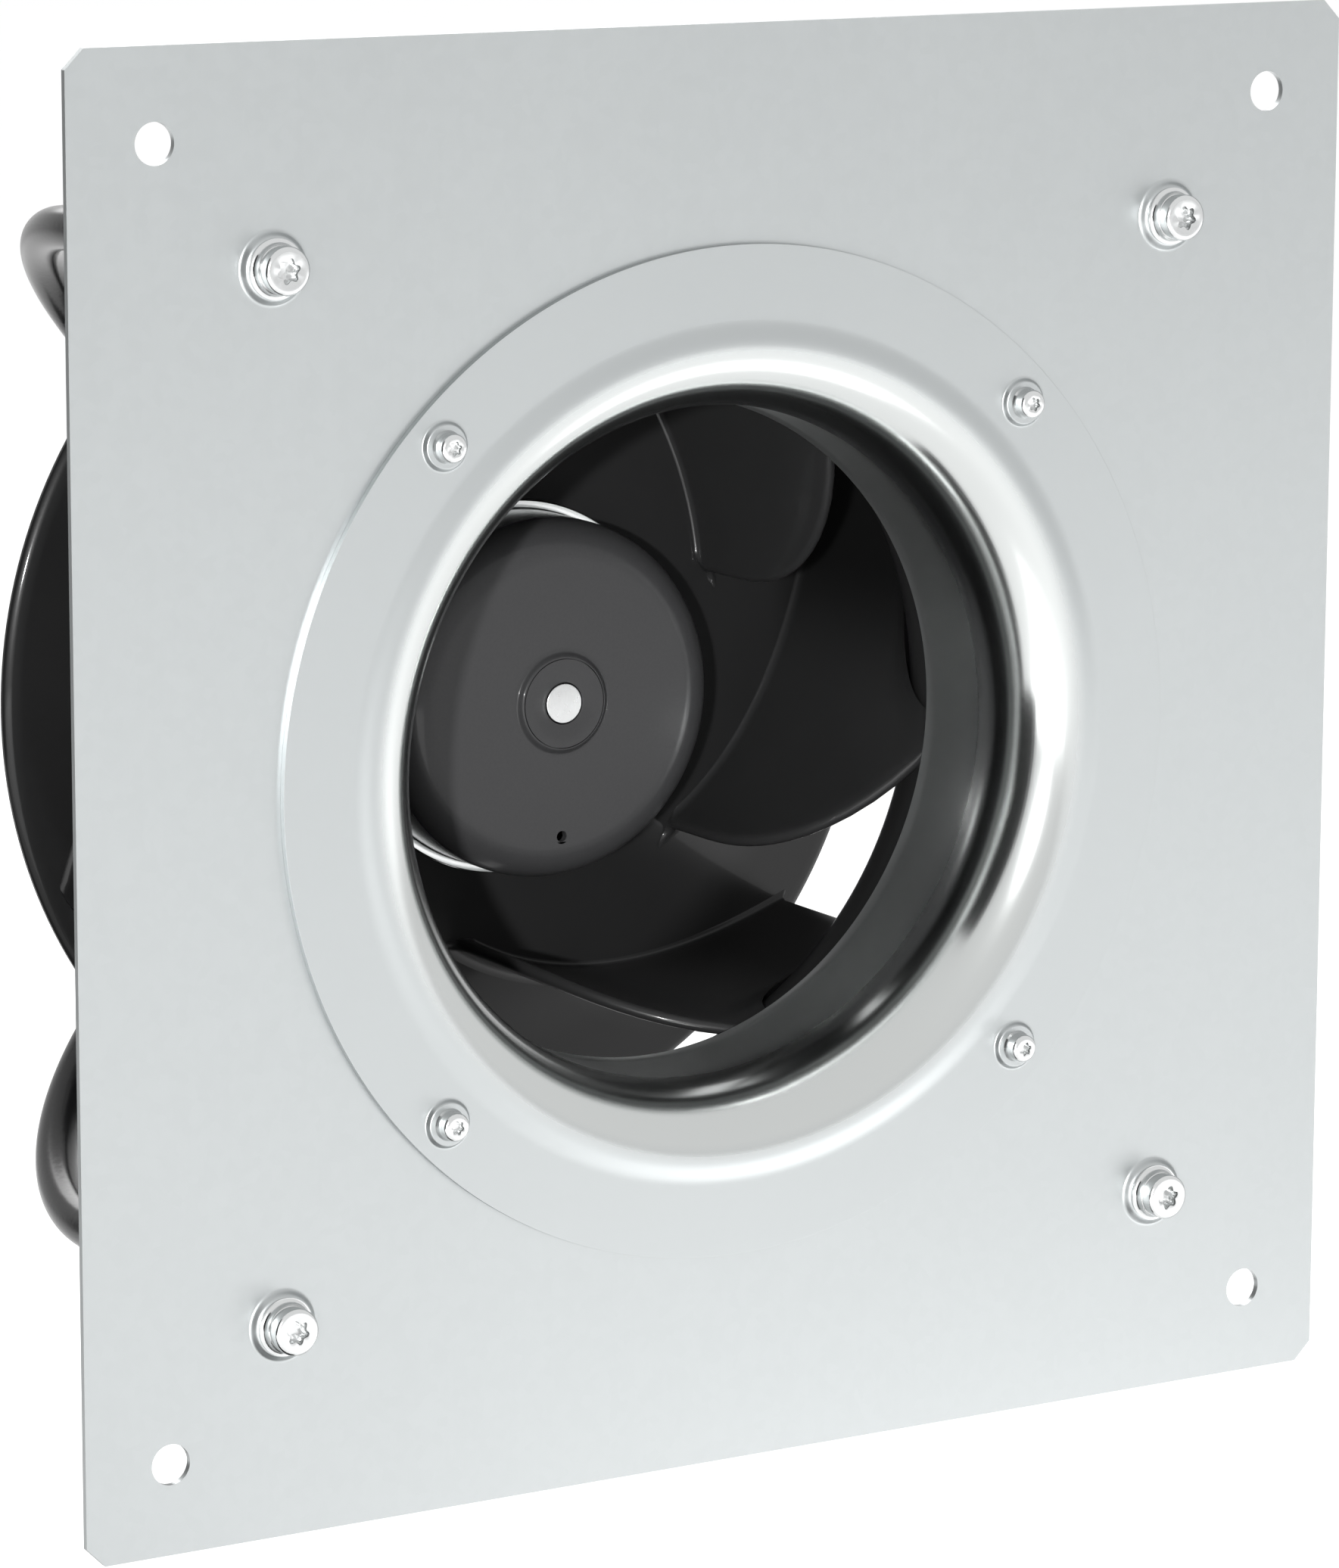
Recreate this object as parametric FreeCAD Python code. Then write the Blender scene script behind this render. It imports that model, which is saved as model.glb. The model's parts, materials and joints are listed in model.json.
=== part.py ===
import FreeCAD, Part
import math
import os

from FreeCAD import Vector

# Plug fan: a square mounting plate with a spun inlet nozzle, a backward-curved impeller on an
# external-rotor motor, and four bent round struts that carry the motor behind the plate.
# Millimetres. +Z is up, +X is right, the air enters along +Y. The origin is on the fan axis,
# at the plate's front face.

# Clearances shared by several pieces
fit_gap = 0.05
seat_gap = 0.02
press_gap = 0.01
screw_hole_gap = 0.2
bolt_hole_gap = 0.3
overrun = 1.0

# Mounting plate
plate_side = 320.0
plate_thickness = 1.5
plate_corner_cut = 4.3
mount_hole_spacing = 280.0
mount_hole_diameter = 9.0

# Inlet nozzle, one spun sheet
nozzle_sheet = 1.5
nozzle_flange_diameter = 225.0
nozzle_mouth_radius = 90.0
nozzle_mouth_depth = 12.0
nozzle_throat_radius = 77.0
nozzle_exit_radius = 76.0
nozzle_length = 39.0
nozzle_plate_gap = 0.5

# Screws that hold the nozzle to the plate
nozzle_screw_spacing = 147.0
nozzle_screw_diameter = 4.0
nozzle_screw_length = 12.0
nozzle_screw_head = 6.25
nozzle_screw_head_height = 2.8
nozzle_screw_edge = 0.7
nozzle_screw_collar = 7.1
nozzle_screw_collar_height = 0.8
nozzle_socket_size = 3.6
nozzle_boss_diameter = 11.2
nozzle_boss_height = 1.1
nozzle_nut_width = 7.0
nozzle_nut_height = 3.2

# Struts and the bolts at their front ends
strut_circle = 320.0
strut_diameter = 10.0
strut_bend_radius = 63.0
strut_tap_depth = 20.0
strut_bolt_diameter = 6.0
strut_bolt_length = 16.0
strut_bolt_head = 10.3
strut_bolt_head_height = 3.4
strut_washer_diameter = 13.0
strut_washer_thickness = 2.4
strut_washer_foot = 0.4
strut_washer_bow = 0.35
strut_boss_diameter = 15.6
strut_boss_height = 1.5

# Flattened inner ends of the struts and their screws
lug_circle = 100.0
lug_width = 14.0
lug_thickness = 5.0
lug_length = 12.0
lug_taper = 9.0
lug_screw_diameter = 5.0
lug_screw_length = 14.0
lug_screw_head = 9.0
lug_screw_head_height = 3.4
lug_hole_gap = 0.25
lug_corner_radius = 2.4
screw_head_chamfer = 0.6
socket_depth_share = 0.6

# Impeller
blade_count = 6
wheel_diameter = 233.7
eye_gap = 2.5
nozzle_overlap = 5.0
shroud_wall = 2.2
shroud_lip_length = 6.0
shroud_bend_depth = 42.0
outlet_width = 45.5
disc_wall = 2.2
disc_rise = 25.6
disc_crown = 1.7
blade_root_radius = 63.5
blade_tip_inset = 5.65
blade_root_thickness = 3.0
blade_tip_thickness = 2.0
blade_start_angle = 24.5
blade_angles = (24.0, 28.0, 36.5)
leading_edge_power = 3.0
leading_edge_inset = 2.0
tip_weld_gap = 0.12

# Rotor bell and the hub
rotor_diameter = 83.8
rotor_wall = 1.8
rotor_edge_radius = 8.5
rotor_length = 40.0
rotor_nose = 24.0
rotor_recess_radius = 10.4
rotor_recess_depth = 0.6
rotor_vent_diameter = 2.5
rotor_vent_radius = 31.3
hub_ring_wall = 2.0
hub_ring_length = 16.0
hub_ring_lead = 1.3
hub_collar_wall = 3.4
magnet_thickness = 5.0
magnet_length = 25.0
magnet_setback = 2.0

# Shaft and bearings
shaft_nose_diameter = 9.3
shaft_diameter = 8.0
bearing_outer_diameter = 22.0
bearing_width = 7.0
bearing_race = 1.7
bearing_ball_play = 0.06
bearing_cage_inset = 1.2
bearing_tube_wall = 2.2
bearing_tube_step = 1.2
bearing_tube_lip = 1.4
bearing_tube_end = 0.6
front_bearing_setback = 9.0
shaft_tail = 5.0
ring_groove_width = 1.2
ring_groove_depth = 0.5
retaining_ring_diameter = 12.0
spring_gap = 1.6
spring_sheet = 0.4
spring_width = 1.6

# Stator
air_gap = 0.7
stator_teeth = 12
stator_length = 20.0
tooth_width = 4.6
tooth_lip = 2.4
slot_opening = 2.4
stator_yoke = 3.6
coil_overhang = 4.0
coil_wall = 1.9
coil_gap = 0.3
coil_end_gap = 0.9

# Motor housing with the electronics
housing_diameter = 116.0
housing_wall = 2.6
housing_front_wall = 3.0
housing_depth = 29.0
housing_gap = 3.0
housing_rib_count = 36
housing_rib_height = 1.6
housing_rib_width = 1.6
housing_rib_margin = 2.5
spigot_wall = 2.0
spigot_depth = 2.0
spigot_gap = 2.5
gasket_width = 8.6
gasket_thickness = 1.0
cover_thickness = 2.2
cover_dome_radius = 36.0
cover_dome_height = 5.0
cover_dome_slope = 3.0
cover_notch_gap = 0.4
lug_post_diameter = 15.0
lug_post_rise = 0.5
cover_screw_circle = 103.0
cover_screw_diameter = 3.0
cover_screw_length = 10.0
cover_screw_head = 5.6
cover_screw_head_height = 2.0
cover_post_diameter = 7.4
board_gap = 0.5
board_thickness = 1.6
board_standoff = 12.0
board_bore_diameter = 16.0
support_diameter = 5.0
support_inset = 5.0
capacitor_diameter = 12.0
capacitor_height = 9.0
component_circle = 52.0
capacitor_angles = (20.0, 58.0)
choke_diameter = 16.0
choke_bore = 6.0
choke_height = 6.0
choke_angle = 150.0
power_stage_size = (24.0, 5.0, 10.0)
power_stage_drop = 34.0
terminal_size = (9.0, 4.0, 16.0)
terminal_offset = 24.0

# Cable gland on the underside of the housing
gland_thread_diameter = 16.0
gland_bore_diameter = 8.0
gland_body_width = 20.0
gland_body_length = 6.0
gland_cap_length = 11.0
gland_cap_taper = 3.0
gland_stem_length = 4.0
gland_thread_gap = 0.1
gland_nut_thickness = 3.0
gland_thread_spare = 1.0
gland_pad_diameter = 25.0
gland_pad_height = 1.5
gland_floor_gap = 1.4

# Stations along the fan axis, from the plate's front face backwards
shroud_front = nozzle_length - nozzle_overlap
shroud_bend_start = shroud_front + shroud_lip_length
shroud_rim = shroud_bend_start + shroud_bend_depth
disc_rim = shroud_rim + outlet_width
hub_front = disc_rim - disc_rise
hub_ring_front = hub_front - hub_ring_lead
hub_ring_back = hub_ring_front + hub_ring_length
rotor_front = hub_ring_front - rotor_nose
rotor_back = rotor_front + rotor_length
housing_front = rotor_back + housing_gap
housing_back = housing_front + housing_depth
cover_front = housing_back + gasket_thickness
cover_back = cover_front + cover_thickness
lug_front = cover_back + lug_post_rise
strut_station = lug_front + lug_thickness / 2
strut_bend_start = strut_station - strut_bend_radius
bearing_tube_front = rotor_front + front_bearing_setback - bearing_tube_step
front_bearing_front = rotor_front + front_bearing_setback
rear_bearing_back = housing_front + housing_front_wall - spring_gap
rear_bearing_front = rear_bearing_back - bearing_width
shaft_back = rear_bearing_back + shaft_tail
magnet_front = rotor_back - magnet_length - magnet_setback
stator_front = magnet_front + (magnet_length - stator_length) / 2
board_front = housing_front + housing_front_wall + board_standoff

# Radii that follow from the sizes above
eye_radius = nozzle_exit_radius + nozzle_sheet + eye_gap
wheel_radius = wheel_diameter / 2
blade_tip_radius = wheel_radius - blade_tip_inset
rotor_radius = rotor_diameter / 2
rotor_bore = rotor_radius - rotor_wall
hub_ring_radius = rotor_radius + fit_gap + hub_ring_wall
hub_radius = hub_ring_radius + fit_gap
magnet_outer = rotor_bore - fit_gap
magnet_inner = magnet_outer - magnet_thickness
stator_radius = magnet_inner - air_gap
bearing_radius = bearing_outer_diameter / 2
tube_bore = bearing_radius + seat_gap
tube_radius = tube_bore + bearing_tube_wall
stator_bore = tube_radius + fit_gap
housing_radius = housing_diameter / 2
lug_radius = lug_circle / 2
board_radius = lug_radius - lug_post_diameter / 2 - board_gap
strut_radius_out = strut_circle / 2

quarter_angles = (45.0, 135.0, 225.0, 315.0)
cover_screw_angles = (67.5, 157.5, 247.5, 337.5)
support_angles = (0.0, 90.0, 180.0, 270.0)
axis = Vector(0, 1, 0)
centre = Vector(0, 0, 0)


def at(radius, station, angle=0.0):
    """Point at a radius and station, turned by an angle from +X towards +Z."""
    turn = math.radians(angle)
    return Vector(radius * math.cos(turn), station, radius * math.sin(turn))


def line(start, end):
    return Part.makeLine(start, end)


def arc(start, middle, end):
    return Part.Arc(start, middle, end).toShape()


def turned(edges):
    """Solid of revolution about the fan axis from a closed outline in the X-Y plane."""
    face = Part.Face(Part.Wire(edges))
    solid = face.revolve(centre, axis, 360)
    if solid.Volume < 0:
        solid.reverse()
    return solid


def turned_polygon(points):
    """Solid of revolution from straight runs between (radius, station) points."""
    corners = [at(radius, station) for radius, station in points]
    closed = corners + [corners[0]]
    return turned([line(a, b) for a, b in zip(closed, closed[1:])])


def disc(radius, station, thickness, x=0.0, z=0.0):
    return Part.makeCylinder(radius, thickness, Vector(x, station, z), axis)


def tube(outer, inner, station, length):
    return turned_polygon([(inner, station), (outer, station),
                           (outer, station + length), (inner, station + length)])


def hexagon(width, station, thickness, x=0.0, z=0.0):
    """Hexagonal prism along the fan axis, given by its width across flats."""
    reach = width / 2 / math.cos(math.radians(30))
    corners = [at(reach, station, 60.0 * step) + Vector(x, 0, z) for step in range(7)]
    return Part.Face(Part.makePolygon(corners)).extrude(axis * thickness)


def torx_socket(size, station, depth, x=0.0, z=0.0):
    """Six-lobed driver recess, opening towards -Y at the given station."""
    socket = disc(size * 0.36, station, depth, x, z)
    for step in range(6):
        lobe = at(size * 0.36, 0, 60.0 * step)
        socket = socket.fuse(disc(size * 0.13, station, depth, x + lobe.x, z + lobe.z))
    return socket


def turned_about(solid, angle):
    """Copy of a solid, turned about the fan axis from +X towards +Z."""
    copy = solid.copy()
    copy.rotate(centre, axis, -angle)
    return copy


def square_places(spacing):
    half = spacing / 2
    return [(half, half), (-half, half), (-half, -half), (half, -half)]


def save(name, solids):
    """Write one node from one solid or a list of separate solids."""
    shape = Part.makeCompound(solids) if isinstance(solids, list) else solids
    shape.exportStep("parts/" + name + ".step")


# Plate and nozzle

def raised_boss(diameter, height, sheet, face, x, z):
    """Round pressed boss that stands forward of a sheet whose front is at the given station."""
    outer = diameter / 2
    top = outer - height
    cone = Part.makeCone(outer, top, height, Vector(x, face, z), -axis)
    hollow = Part.makeCone(outer - sheet / 2, top - sheet / 2, height, Vector(x, face + sheet, z), -axis)
    return cone, hollow


def mounting_plate():
    half = plate_side / 2
    cut = plate_corner_cut
    corners = [(half - cut, half), (half, half - cut), (half, -half + cut), (half - cut, -half),
               (-half + cut, -half), (-half, -half + cut), (-half, half - cut), (-half + cut, half)]
    outline = Part.makePolygon([Vector(x, 0, z) for x, z in corners + [corners[0]]])
    plate = Part.Face(outline).extrude(axis * plate_thickness)
    deep = plate_thickness + 2 * overrun
    plate = plate.cut(disc(nozzle_mouth_radius + nozzle_plate_gap, -overrun, deep))
    for x, z in square_places(mount_hole_spacing):
        plate = plate.cut(disc(mount_hole_diameter / 2, -overrun, deep, x, z))
    for x, z in square_places(nozzle_screw_spacing):
        plate = plate.cut(disc(nozzle_screw_diameter / 2 + screw_hole_gap, -overrun, deep, x, z))
    for x, z in square_places(strut_circle / math.sqrt(2)):
        boss, hollow = raised_boss(strut_boss_diameter, strut_boss_height, plate_thickness, 0, x, z)
        plate = plate.fuse(boss).cut(hollow)
        hole = disc(strut_bolt_diameter / 2 + bolt_hole_gap, -strut_boss_height - overrun,
                    strut_boss_height + deep, x, z)
        plate = plate.cut(hole)
    return plate


def inlet_nozzle():
    """Flat flange, elliptical mouth and a throat that narrows slightly to its exit."""
    flange = nozzle_flange_diameter / 2
    front = -nozzle_sheet
    mouth_width = nozzle_mouth_radius - nozzle_throat_radius
    turn = front + nozzle_mouth_depth

    def mouth(offset):
        wide = mouth_width - offset
        deep = nozzle_mouth_depth - offset
        places = []
        for share in (0.0, 0.25, 0.5, 0.75, 1.0):
            angle = math.pi / 2 * share
            places.append(at(nozzle_mouth_radius - wide * math.sin(angle), turn - deep * math.cos(angle)))
        curve = Part.BSplineCurve()
        curve.interpolate(Points=places, InitialTangent=Vector(-1, 0, 0), FinalTangent=Vector(0, 1, 0))
        return curve.toShape(), places[0], places[-1]

    flow, flow_start, flow_end = mouth(0.0)
    back, back_start, back_end = mouth(nozzle_sheet)
    exit_inner = at(nozzle_exit_radius, nozzle_length)
    exit_outer = at(nozzle_exit_radius + nozzle_sheet, nozzle_length)
    nozzle = turned([line(at(flange, front), flow_start), flow, line(flow_end, exit_inner),
                     line(exit_inner, exit_outer), line(exit_outer, back_end), back,
                     line(back_start, at(flange, 0)), line(at(flange, 0), at(flange, front))])
    for x, z in square_places(nozzle_screw_spacing):
        boss, hollow = raised_boss(nozzle_boss_diameter, nozzle_boss_height, nozzle_sheet, front, x, z)
        nozzle = nozzle.fuse(boss).cut(hollow)
        hole = disc(nozzle_screw_diameter / 2 + screw_hole_gap, front - nozzle_boss_height - overrun,
                    nozzle_boss_height + nozzle_sheet + 2 * overrun, x, z)
        nozzle = nozzle.cut(hole)
    return nozzle


def nozzle_screws():
    """Cylinder-head screws with a flared collar, from the nozzle's bosses through the plate."""
    seat = -nozzle_sheet - nozzle_boss_height
    screws = []
    for x, z in square_places(nozzle_screw_spacing):
        head_front = seat - nozzle_screw_collar_height - nozzle_screw_head_height
        collar = Part.makeCone(nozzle_screw_collar / 2, nozzle_screw_head / 2, nozzle_screw_collar_height,
                               Vector(x, seat, z), -axis)
        head = disc(nozzle_screw_head / 2, head_front, nozzle_screw_head_height, x, z)
        rim = [edge for edge in head.Edges if abs(edge.BoundBox.YMax - head_front) < 1e-6]
        head = head.makeFillet(nozzle_screw_edge, rim)
        socket_depth = nozzle_screw_head_height * socket_depth_share
        head = head.cut(torx_socket(nozzle_socket_size, head_front, socket_depth, x, z))
        shank = disc(nozzle_screw_diameter / 2, seat, nozzle_screw_length, x, z)
        screws.append(collar.fuse([head, shank]).removeSplitter())
    return screws


def nozzle_nuts():
    nuts = []
    for x, z in square_places(nozzle_screw_spacing):
        nut = hexagon(nozzle_nut_width, plate_thickness, nozzle_nut_height, x, z)
        hole = disc(nozzle_screw_diameter / 2 + fit_gap, plate_thickness - overrun,
                    nozzle_nut_height + 2 * overrun, x, z)
        nuts.append(nut.cut(hole))
    return nuts


def strut_washers():
    """Thick washers whose flank sweeps in from the plate's boss to the bolt's head."""
    bore = strut_bolt_diameter / 2 + screw_hole_gap
    seat = -strut_boss_height
    front = seat - strut_washer_thickness
    foot = at(strut_washer_diameter / 2, seat - strut_washer_foot)
    top = at(strut_bolt_head / 2, front)
    chord = top - foot
    inwards = Vector(chord.y, -chord.x, 0).normalize()
    waist = (foot + top) / 2 + inwards * strut_washer_bow
    washer = turned([line(at(bore, seat), at(strut_washer_diameter / 2, seat)),
                     line(at(strut_washer_diameter / 2, seat), foot), arc(foot, waist, top),
                     line(top, at(bore, front)), line(at(bore, front), at(bore, seat))])
    washers = []
    for x, z in square_places(strut_circle / math.sqrt(2)):
        copy = washer.copy()
        copy.translate(Vector(x, 0, z))
        washers.append(copy)
    return washers


def strut_bolts():
    """Cylinder-head bolts that clamp the plate to the struts' tapped front ends."""
    seat = -strut_boss_height - strut_washer_thickness
    head_front = seat - strut_bolt_head_height
    bolts = []
    for x, z in square_places(strut_circle / math.sqrt(2)):
        head = disc(strut_bolt_head / 2, head_front, strut_bolt_head_height, x, z)
        rim = [edge for edge in head.Edges if abs(edge.BoundBox.YMax - head_front) < 1e-6]
        head = head.makeChamfer(screw_head_chamfer, rim)
        socket_depth = strut_bolt_head_height * socket_depth_share
        head = head.cut(torx_socket(strut_bolt_diameter, head_front, socket_depth, x, z))
        shank = disc(strut_bolt_diameter / 2, seat, strut_bolt_length, x, z)
        bolts.append(head.fuse(shank).removeSplitter())
    return bolts


# Struts

def strut():
    """Round bar along the +X side: straight back, a wide bend inwards, then a flattened lug."""
    bar = strut_diameter / 2
    front = plate_thickness - strut_boss_height
    straight = Part.makeCylinder(bar, strut_bend_start - front, Vector(strut_radius_out, front, 0), axis)
    section = Part.Face(Part.Wire(Part.makeCircle(bar, Vector(strut_radius_out, strut_bend_start, 0), axis)))
    pivot = Vector(strut_radius_out - strut_bend_radius, strut_bend_start, 0)
    bend = section.revolve(pivot, Vector(0, 0, 1), 90)
    lug_outer = lug_radius + lug_length
    run_start = strut_radius_out - strut_bend_radius
    run_end = lug_outer + lug_taper
    inwards = Vector(-1, 0, 0)
    run = Part.makeCylinder(bar, run_start - run_end, Vector(run_start, strut_station, 0), inwards)
    round_end = Part.Wire(Part.makeCircle(bar, Vector(run_end, strut_station, 0), inwards))
    half_wide = lug_width / 2
    half_thick = lug_thickness / 2
    flat_end = rounded_rectangle(lug_outer, half_wide, half_thick, lug_corner_radius)
    taper = Part.makeLoft([round_end, flat_end], True, False)
    lug = Part.Face(flat_end).extrude(inwards * (lug_outer - lug_radius))
    eye = Part.makeCylinder(half_wide, lug_thickness, Vector(lug_radius, lug_front, 0), axis)
    bar_shape = straight.fuse([bend, run, taper, lug, eye]).removeSplitter()
    hole = Part.makeCylinder(lug_screw_diameter / 2 + lug_hole_gap, lug_thickness + 2 * overrun,
                             Vector(lug_radius, lug_front - overrun, 0), axis)
    tap = Part.makeCylinder(strut_bolt_diameter / 2 + fit_gap, strut_tap_depth,
                            Vector(strut_radius_out, front, 0), axis)
    return bar_shape.cut(hole).cut(tap)


def rounded_rectangle(x, half_wide, half_thick, corner):
    """Closed outline across the strut at a given X, wide along Z and thin along Y."""
    y = strut_station
    edges = []
    sides = [(1, 1), (-1, 1), (-1, -1), (1, -1)]
    diagonal = corner * (1 - math.sqrt(0.5))
    marks = []
    for sy, sz in sides:
        long_side = Vector(x, y + sy * half_thick, sz * (half_wide - corner))
        short_side = Vector(x, y + sy * (half_thick - corner), sz * half_wide)
        middle = Vector(x, y + sy * (half_thick - diagonal), sz * (half_wide - diagonal))
        marks.append((long_side, middle, short_side))
    for index, (long_side, middle, short_side) in enumerate(marks):
        previous = marks[index - 1]
        if index % 2 == 0:
            edges.append(line(previous[0], long_side))
            edges.append(arc(long_side, middle, short_side))
        else:
            edges.append(line(previous[2], short_side))
            edges.append(arc(short_side, middle, long_side))
    return Part.Wire(Part.__sortEdges__(edges))


def lug_screws():
    screws = []
    seat = lug_front + lug_thickness
    for angle in quarter_angles:
        place = at(lug_radius, 0, angle)
        head = disc(lug_screw_head / 2, seat, lug_screw_head_height, place.x, place.z)
        rim = [edge for edge in head.Edges if edge.BoundBox.YMin > seat + lug_screw_head_height / 2]
        head = head.makeChamfer(screw_head_chamfer, rim)
        socket_depth = lug_screw_head_height * socket_depth_share
        socket = torx_socket(lug_screw_diameter, seat + lug_screw_head_height - socket_depth,
                             socket_depth, place.x, place.z)
        shank = disc(lug_screw_diameter / 2, seat - lug_screw_length, lug_screw_length, place.x, place.z)
        screws.append(head.cut(socket).fuse(shank).removeSplitter())
    return screws


# Impeller

def blade_angle(share):
    """Blade angle from the tangent, at a share of the way from root to tip."""
    first, middle, last = blade_angles
    bend = 2 * (first - 2 * middle + last)
    slope = last - first - bend
    return math.radians(first + slope * share + bend * share * share)


def blade_wrap(share):
    """Angle about the axis that the blade has turned through at a share of its length."""
    span = math.log(blade_tip_radius / blade_root_radius)
    steps = 24
    wrap = 0.0
    for step in range(steps):
        wrap += share * span / steps / math.tan(blade_angle(share * (step + 0.5) / steps))
    return wrap


def blade_outline(station):
    """Closed outline of one blade across the axis: two long curves, a round nose and tail."""
    stations = 9
    one_side = []
    other_side = []
    ends = []
    for step in range(stations):
        share = step / (stations - 1)
        radius = blade_root_radius * math.exp(share * math.log(blade_tip_radius / blade_root_radius))
        turn = math.radians(blade_start_angle) + blade_wrap(share)
        middle = Vector(radius * math.cos(turn), station, radius * math.sin(turn))
        heading = turn + math.pi / 2 - blade_angle(share)
        along = Vector(math.cos(heading), 0, math.sin(heading))
        across = Vector(-along.z, 0, along.x)
        half = (blade_root_thickness + (blade_tip_thickness - blade_root_thickness) * share) / 2
        one_side.append(middle + across * half)
        other_side.append(middle - across * half)
        ends.append((middle, along * half))
    nose = ends[0][0] - ends[0][1]
    tail = ends[-1][0] + ends[-1][1]
    first_curve = Part.BSplineCurve()
    first_curve.interpolate(one_side)
    second_curve = Part.BSplineCurve()
    second_curve.interpolate(other_side)
    return Part.Wire([first_curve.toShape(), arc(one_side[-1], tail, other_side[-1]),
                      second_curve.toShape(), arc(other_side[0], nose, one_side[0])])


def disc_front(radius, offset=0.0):
    """Station of the back disc's front face, a shallow cone with a slight crown."""
    share = (radius - hub_radius) / (wheel_radius - hub_radius)
    return hub_front + disc_rise * share - 4 * disc_crown * share * (share - 1) + offset


def disc_face(inner, outer, offset):
    """Arc along the back disc between two radii, and its two ends."""
    middle = (inner + outer) / 2
    start, half_way, end = (at(r, disc_front(r, offset)) for r in (inner, middle, outer))
    return arc(start, half_way, end), start, end


def shroud_curve(gap, outer):
    """Flow face of the shroud, from the lip to a radius, moved inwards by a gap."""
    wide = wheel_radius - eye_radius + shroud_wall + gap
    deep = shroud_bend_depth + gap
    pivot = eye_radius + wide - gap
    places = []
    last = math.acos((pivot - outer) / wide)
    for share in (0.0, 0.2, 0.4, 0.6, 0.8, 1.0):
        angle = last * share
        places.append(at(pivot - wide * math.cos(angle), shroud_bend_start + deep * math.sin(angle)))
    curve = Part.BSplineCurve()
    curve.interpolate(places)
    return curve.toShape(), places[0], places[-1]


def blade_space():
    """Ring-shaped space that bounds the blades: disc, shroud and the raked leading edge."""
    inner = blade_root_radius - blade_root_thickness
    outer = blade_tip_radius + blade_tip_thickness
    seat, seat_inner, seat_outer = disc_face(inner, outer, disc_wall / 2)
    roof, roof_inner, roof_outer = shroud_curve(tip_weld_gap, outer)
    edge_root = seat_inner.y - disc_rise / 2
    edge_inner = inner + leading_edge_inset
    places = []
    for step in range(8):
        share = step / 7
        radius = edge_inner + (roof_inner.x - edge_inner) * share ** leading_edge_power
        places.append(at(radius, edge_root + (roof_inner.y - edge_root) * share))
    rake = Part.BSplineCurve()
    rake.interpolate(places)
    return turned([seat, line(seat_outer, roof_outer), roof, rake.toShape(),
                   line(places[0], at(inner, edge_root)), line(at(inner, edge_root), seat_inner)])


def impeller_wheel():
    """Back disc with its hub collar and the blades, one moulding."""
    top, top_inner, top_outer = disc_face(hub_radius, wheel_radius, 0.0)
    collar = hub_radius + hub_collar_wall
    back, back_inner, back_outer = disc_face(collar, wheel_radius, disc_wall)
    hub_back = hub_ring_back
    wheel = turned([top, line(top_outer, back_outer), back, line(back_inner, at(collar, hub_back)),
                    line(at(collar, hub_back), at(hub_radius, hub_back)),
                    line(at(hub_radius, hub_back), top_inner)])
    prism_back = disc_rim + disc_wall
    prism = Part.Face(blade_outline(prism_back)).extrude(axis * (shroud_front - prism_back))
    blade = prism.common(blade_space())
    blades = [turned_about(blade, 360.0 / blade_count * step) for step in range(blade_count)]
    return wheel.fuse(blades).removeSplitter()


def impeller_shroud():
    """Front ring that closes the blades, from the lip round the nozzle to the outlet rim."""
    flow, flow_start, flow_end = shroud_curve(0.0, wheel_radius)
    outside, outside_start, outside_end = shroud_curve(-shroud_wall, wheel_radius)
    lip_inner = at(eye_radius, shroud_front)
    lip_outer = at(eye_radius + shroud_wall, shroud_front)
    return turned([line(lip_inner, flow_start), flow, line(flow_end, outside_end), outside,
                   line(outside_start, lip_outer), line(lip_outer, lip_inner)])


# Rotor

def rotor_bell():
    """Deep-drawn steel bell with a rounded front edge, a centre recess and a vent hole."""
    edge = rotor_edge_radius
    inner_edge = edge - rotor_wall
    inner_front = rotor_front + rotor_wall
    bore = shaft_nose_diameter / 2 + press_gap
    recess = rotor_front + rotor_recess_depth
    slant = math.sqrt(0.5)
    outline = [
        line(at(bore, recess), at(rotor_recess_radius, recess)),
        line(at(rotor_recess_radius, recess), at(rotor_recess_radius, rotor_front)),
        line(at(rotor_recess_radius, rotor_front), at(rotor_radius - edge, rotor_front)),
        arc(at(rotor_radius - edge, rotor_front),
            at(rotor_radius - edge + edge * slant, rotor_front + edge - edge * slant),
            at(rotor_radius, rotor_front + edge)),
        line(at(rotor_radius, rotor_front + edge), at(rotor_radius, rotor_back)),
        line(at(rotor_radius, rotor_back), at(rotor_bore, rotor_back)),
        line(at(rotor_bore, rotor_back), at(rotor_bore, inner_front + inner_edge)),
        arc(at(rotor_bore, inner_front + inner_edge),
            at(rotor_bore - inner_edge + inner_edge * slant, inner_front + inner_edge - inner_edge * slant),
            at(rotor_bore - inner_edge, inner_front)),
        line(at(rotor_bore - inner_edge, inner_front), at(rotor_recess_radius, inner_front)),
        line(at(rotor_recess_radius, inner_front), at(rotor_recess_radius, inner_front + rotor_wall)),
        line(at(rotor_recess_radius, inner_front + rotor_wall), at(bore, inner_front + rotor_wall)),
        line(at(bore, inner_front + rotor_wall), at(bore, recess)),
    ]
    vent = disc(rotor_vent_diameter / 2, rotor_front - overrun, rotor_wall + 2 * overrun, 0, -rotor_vent_radius)
    return turned(outline).cut(vent)


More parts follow.
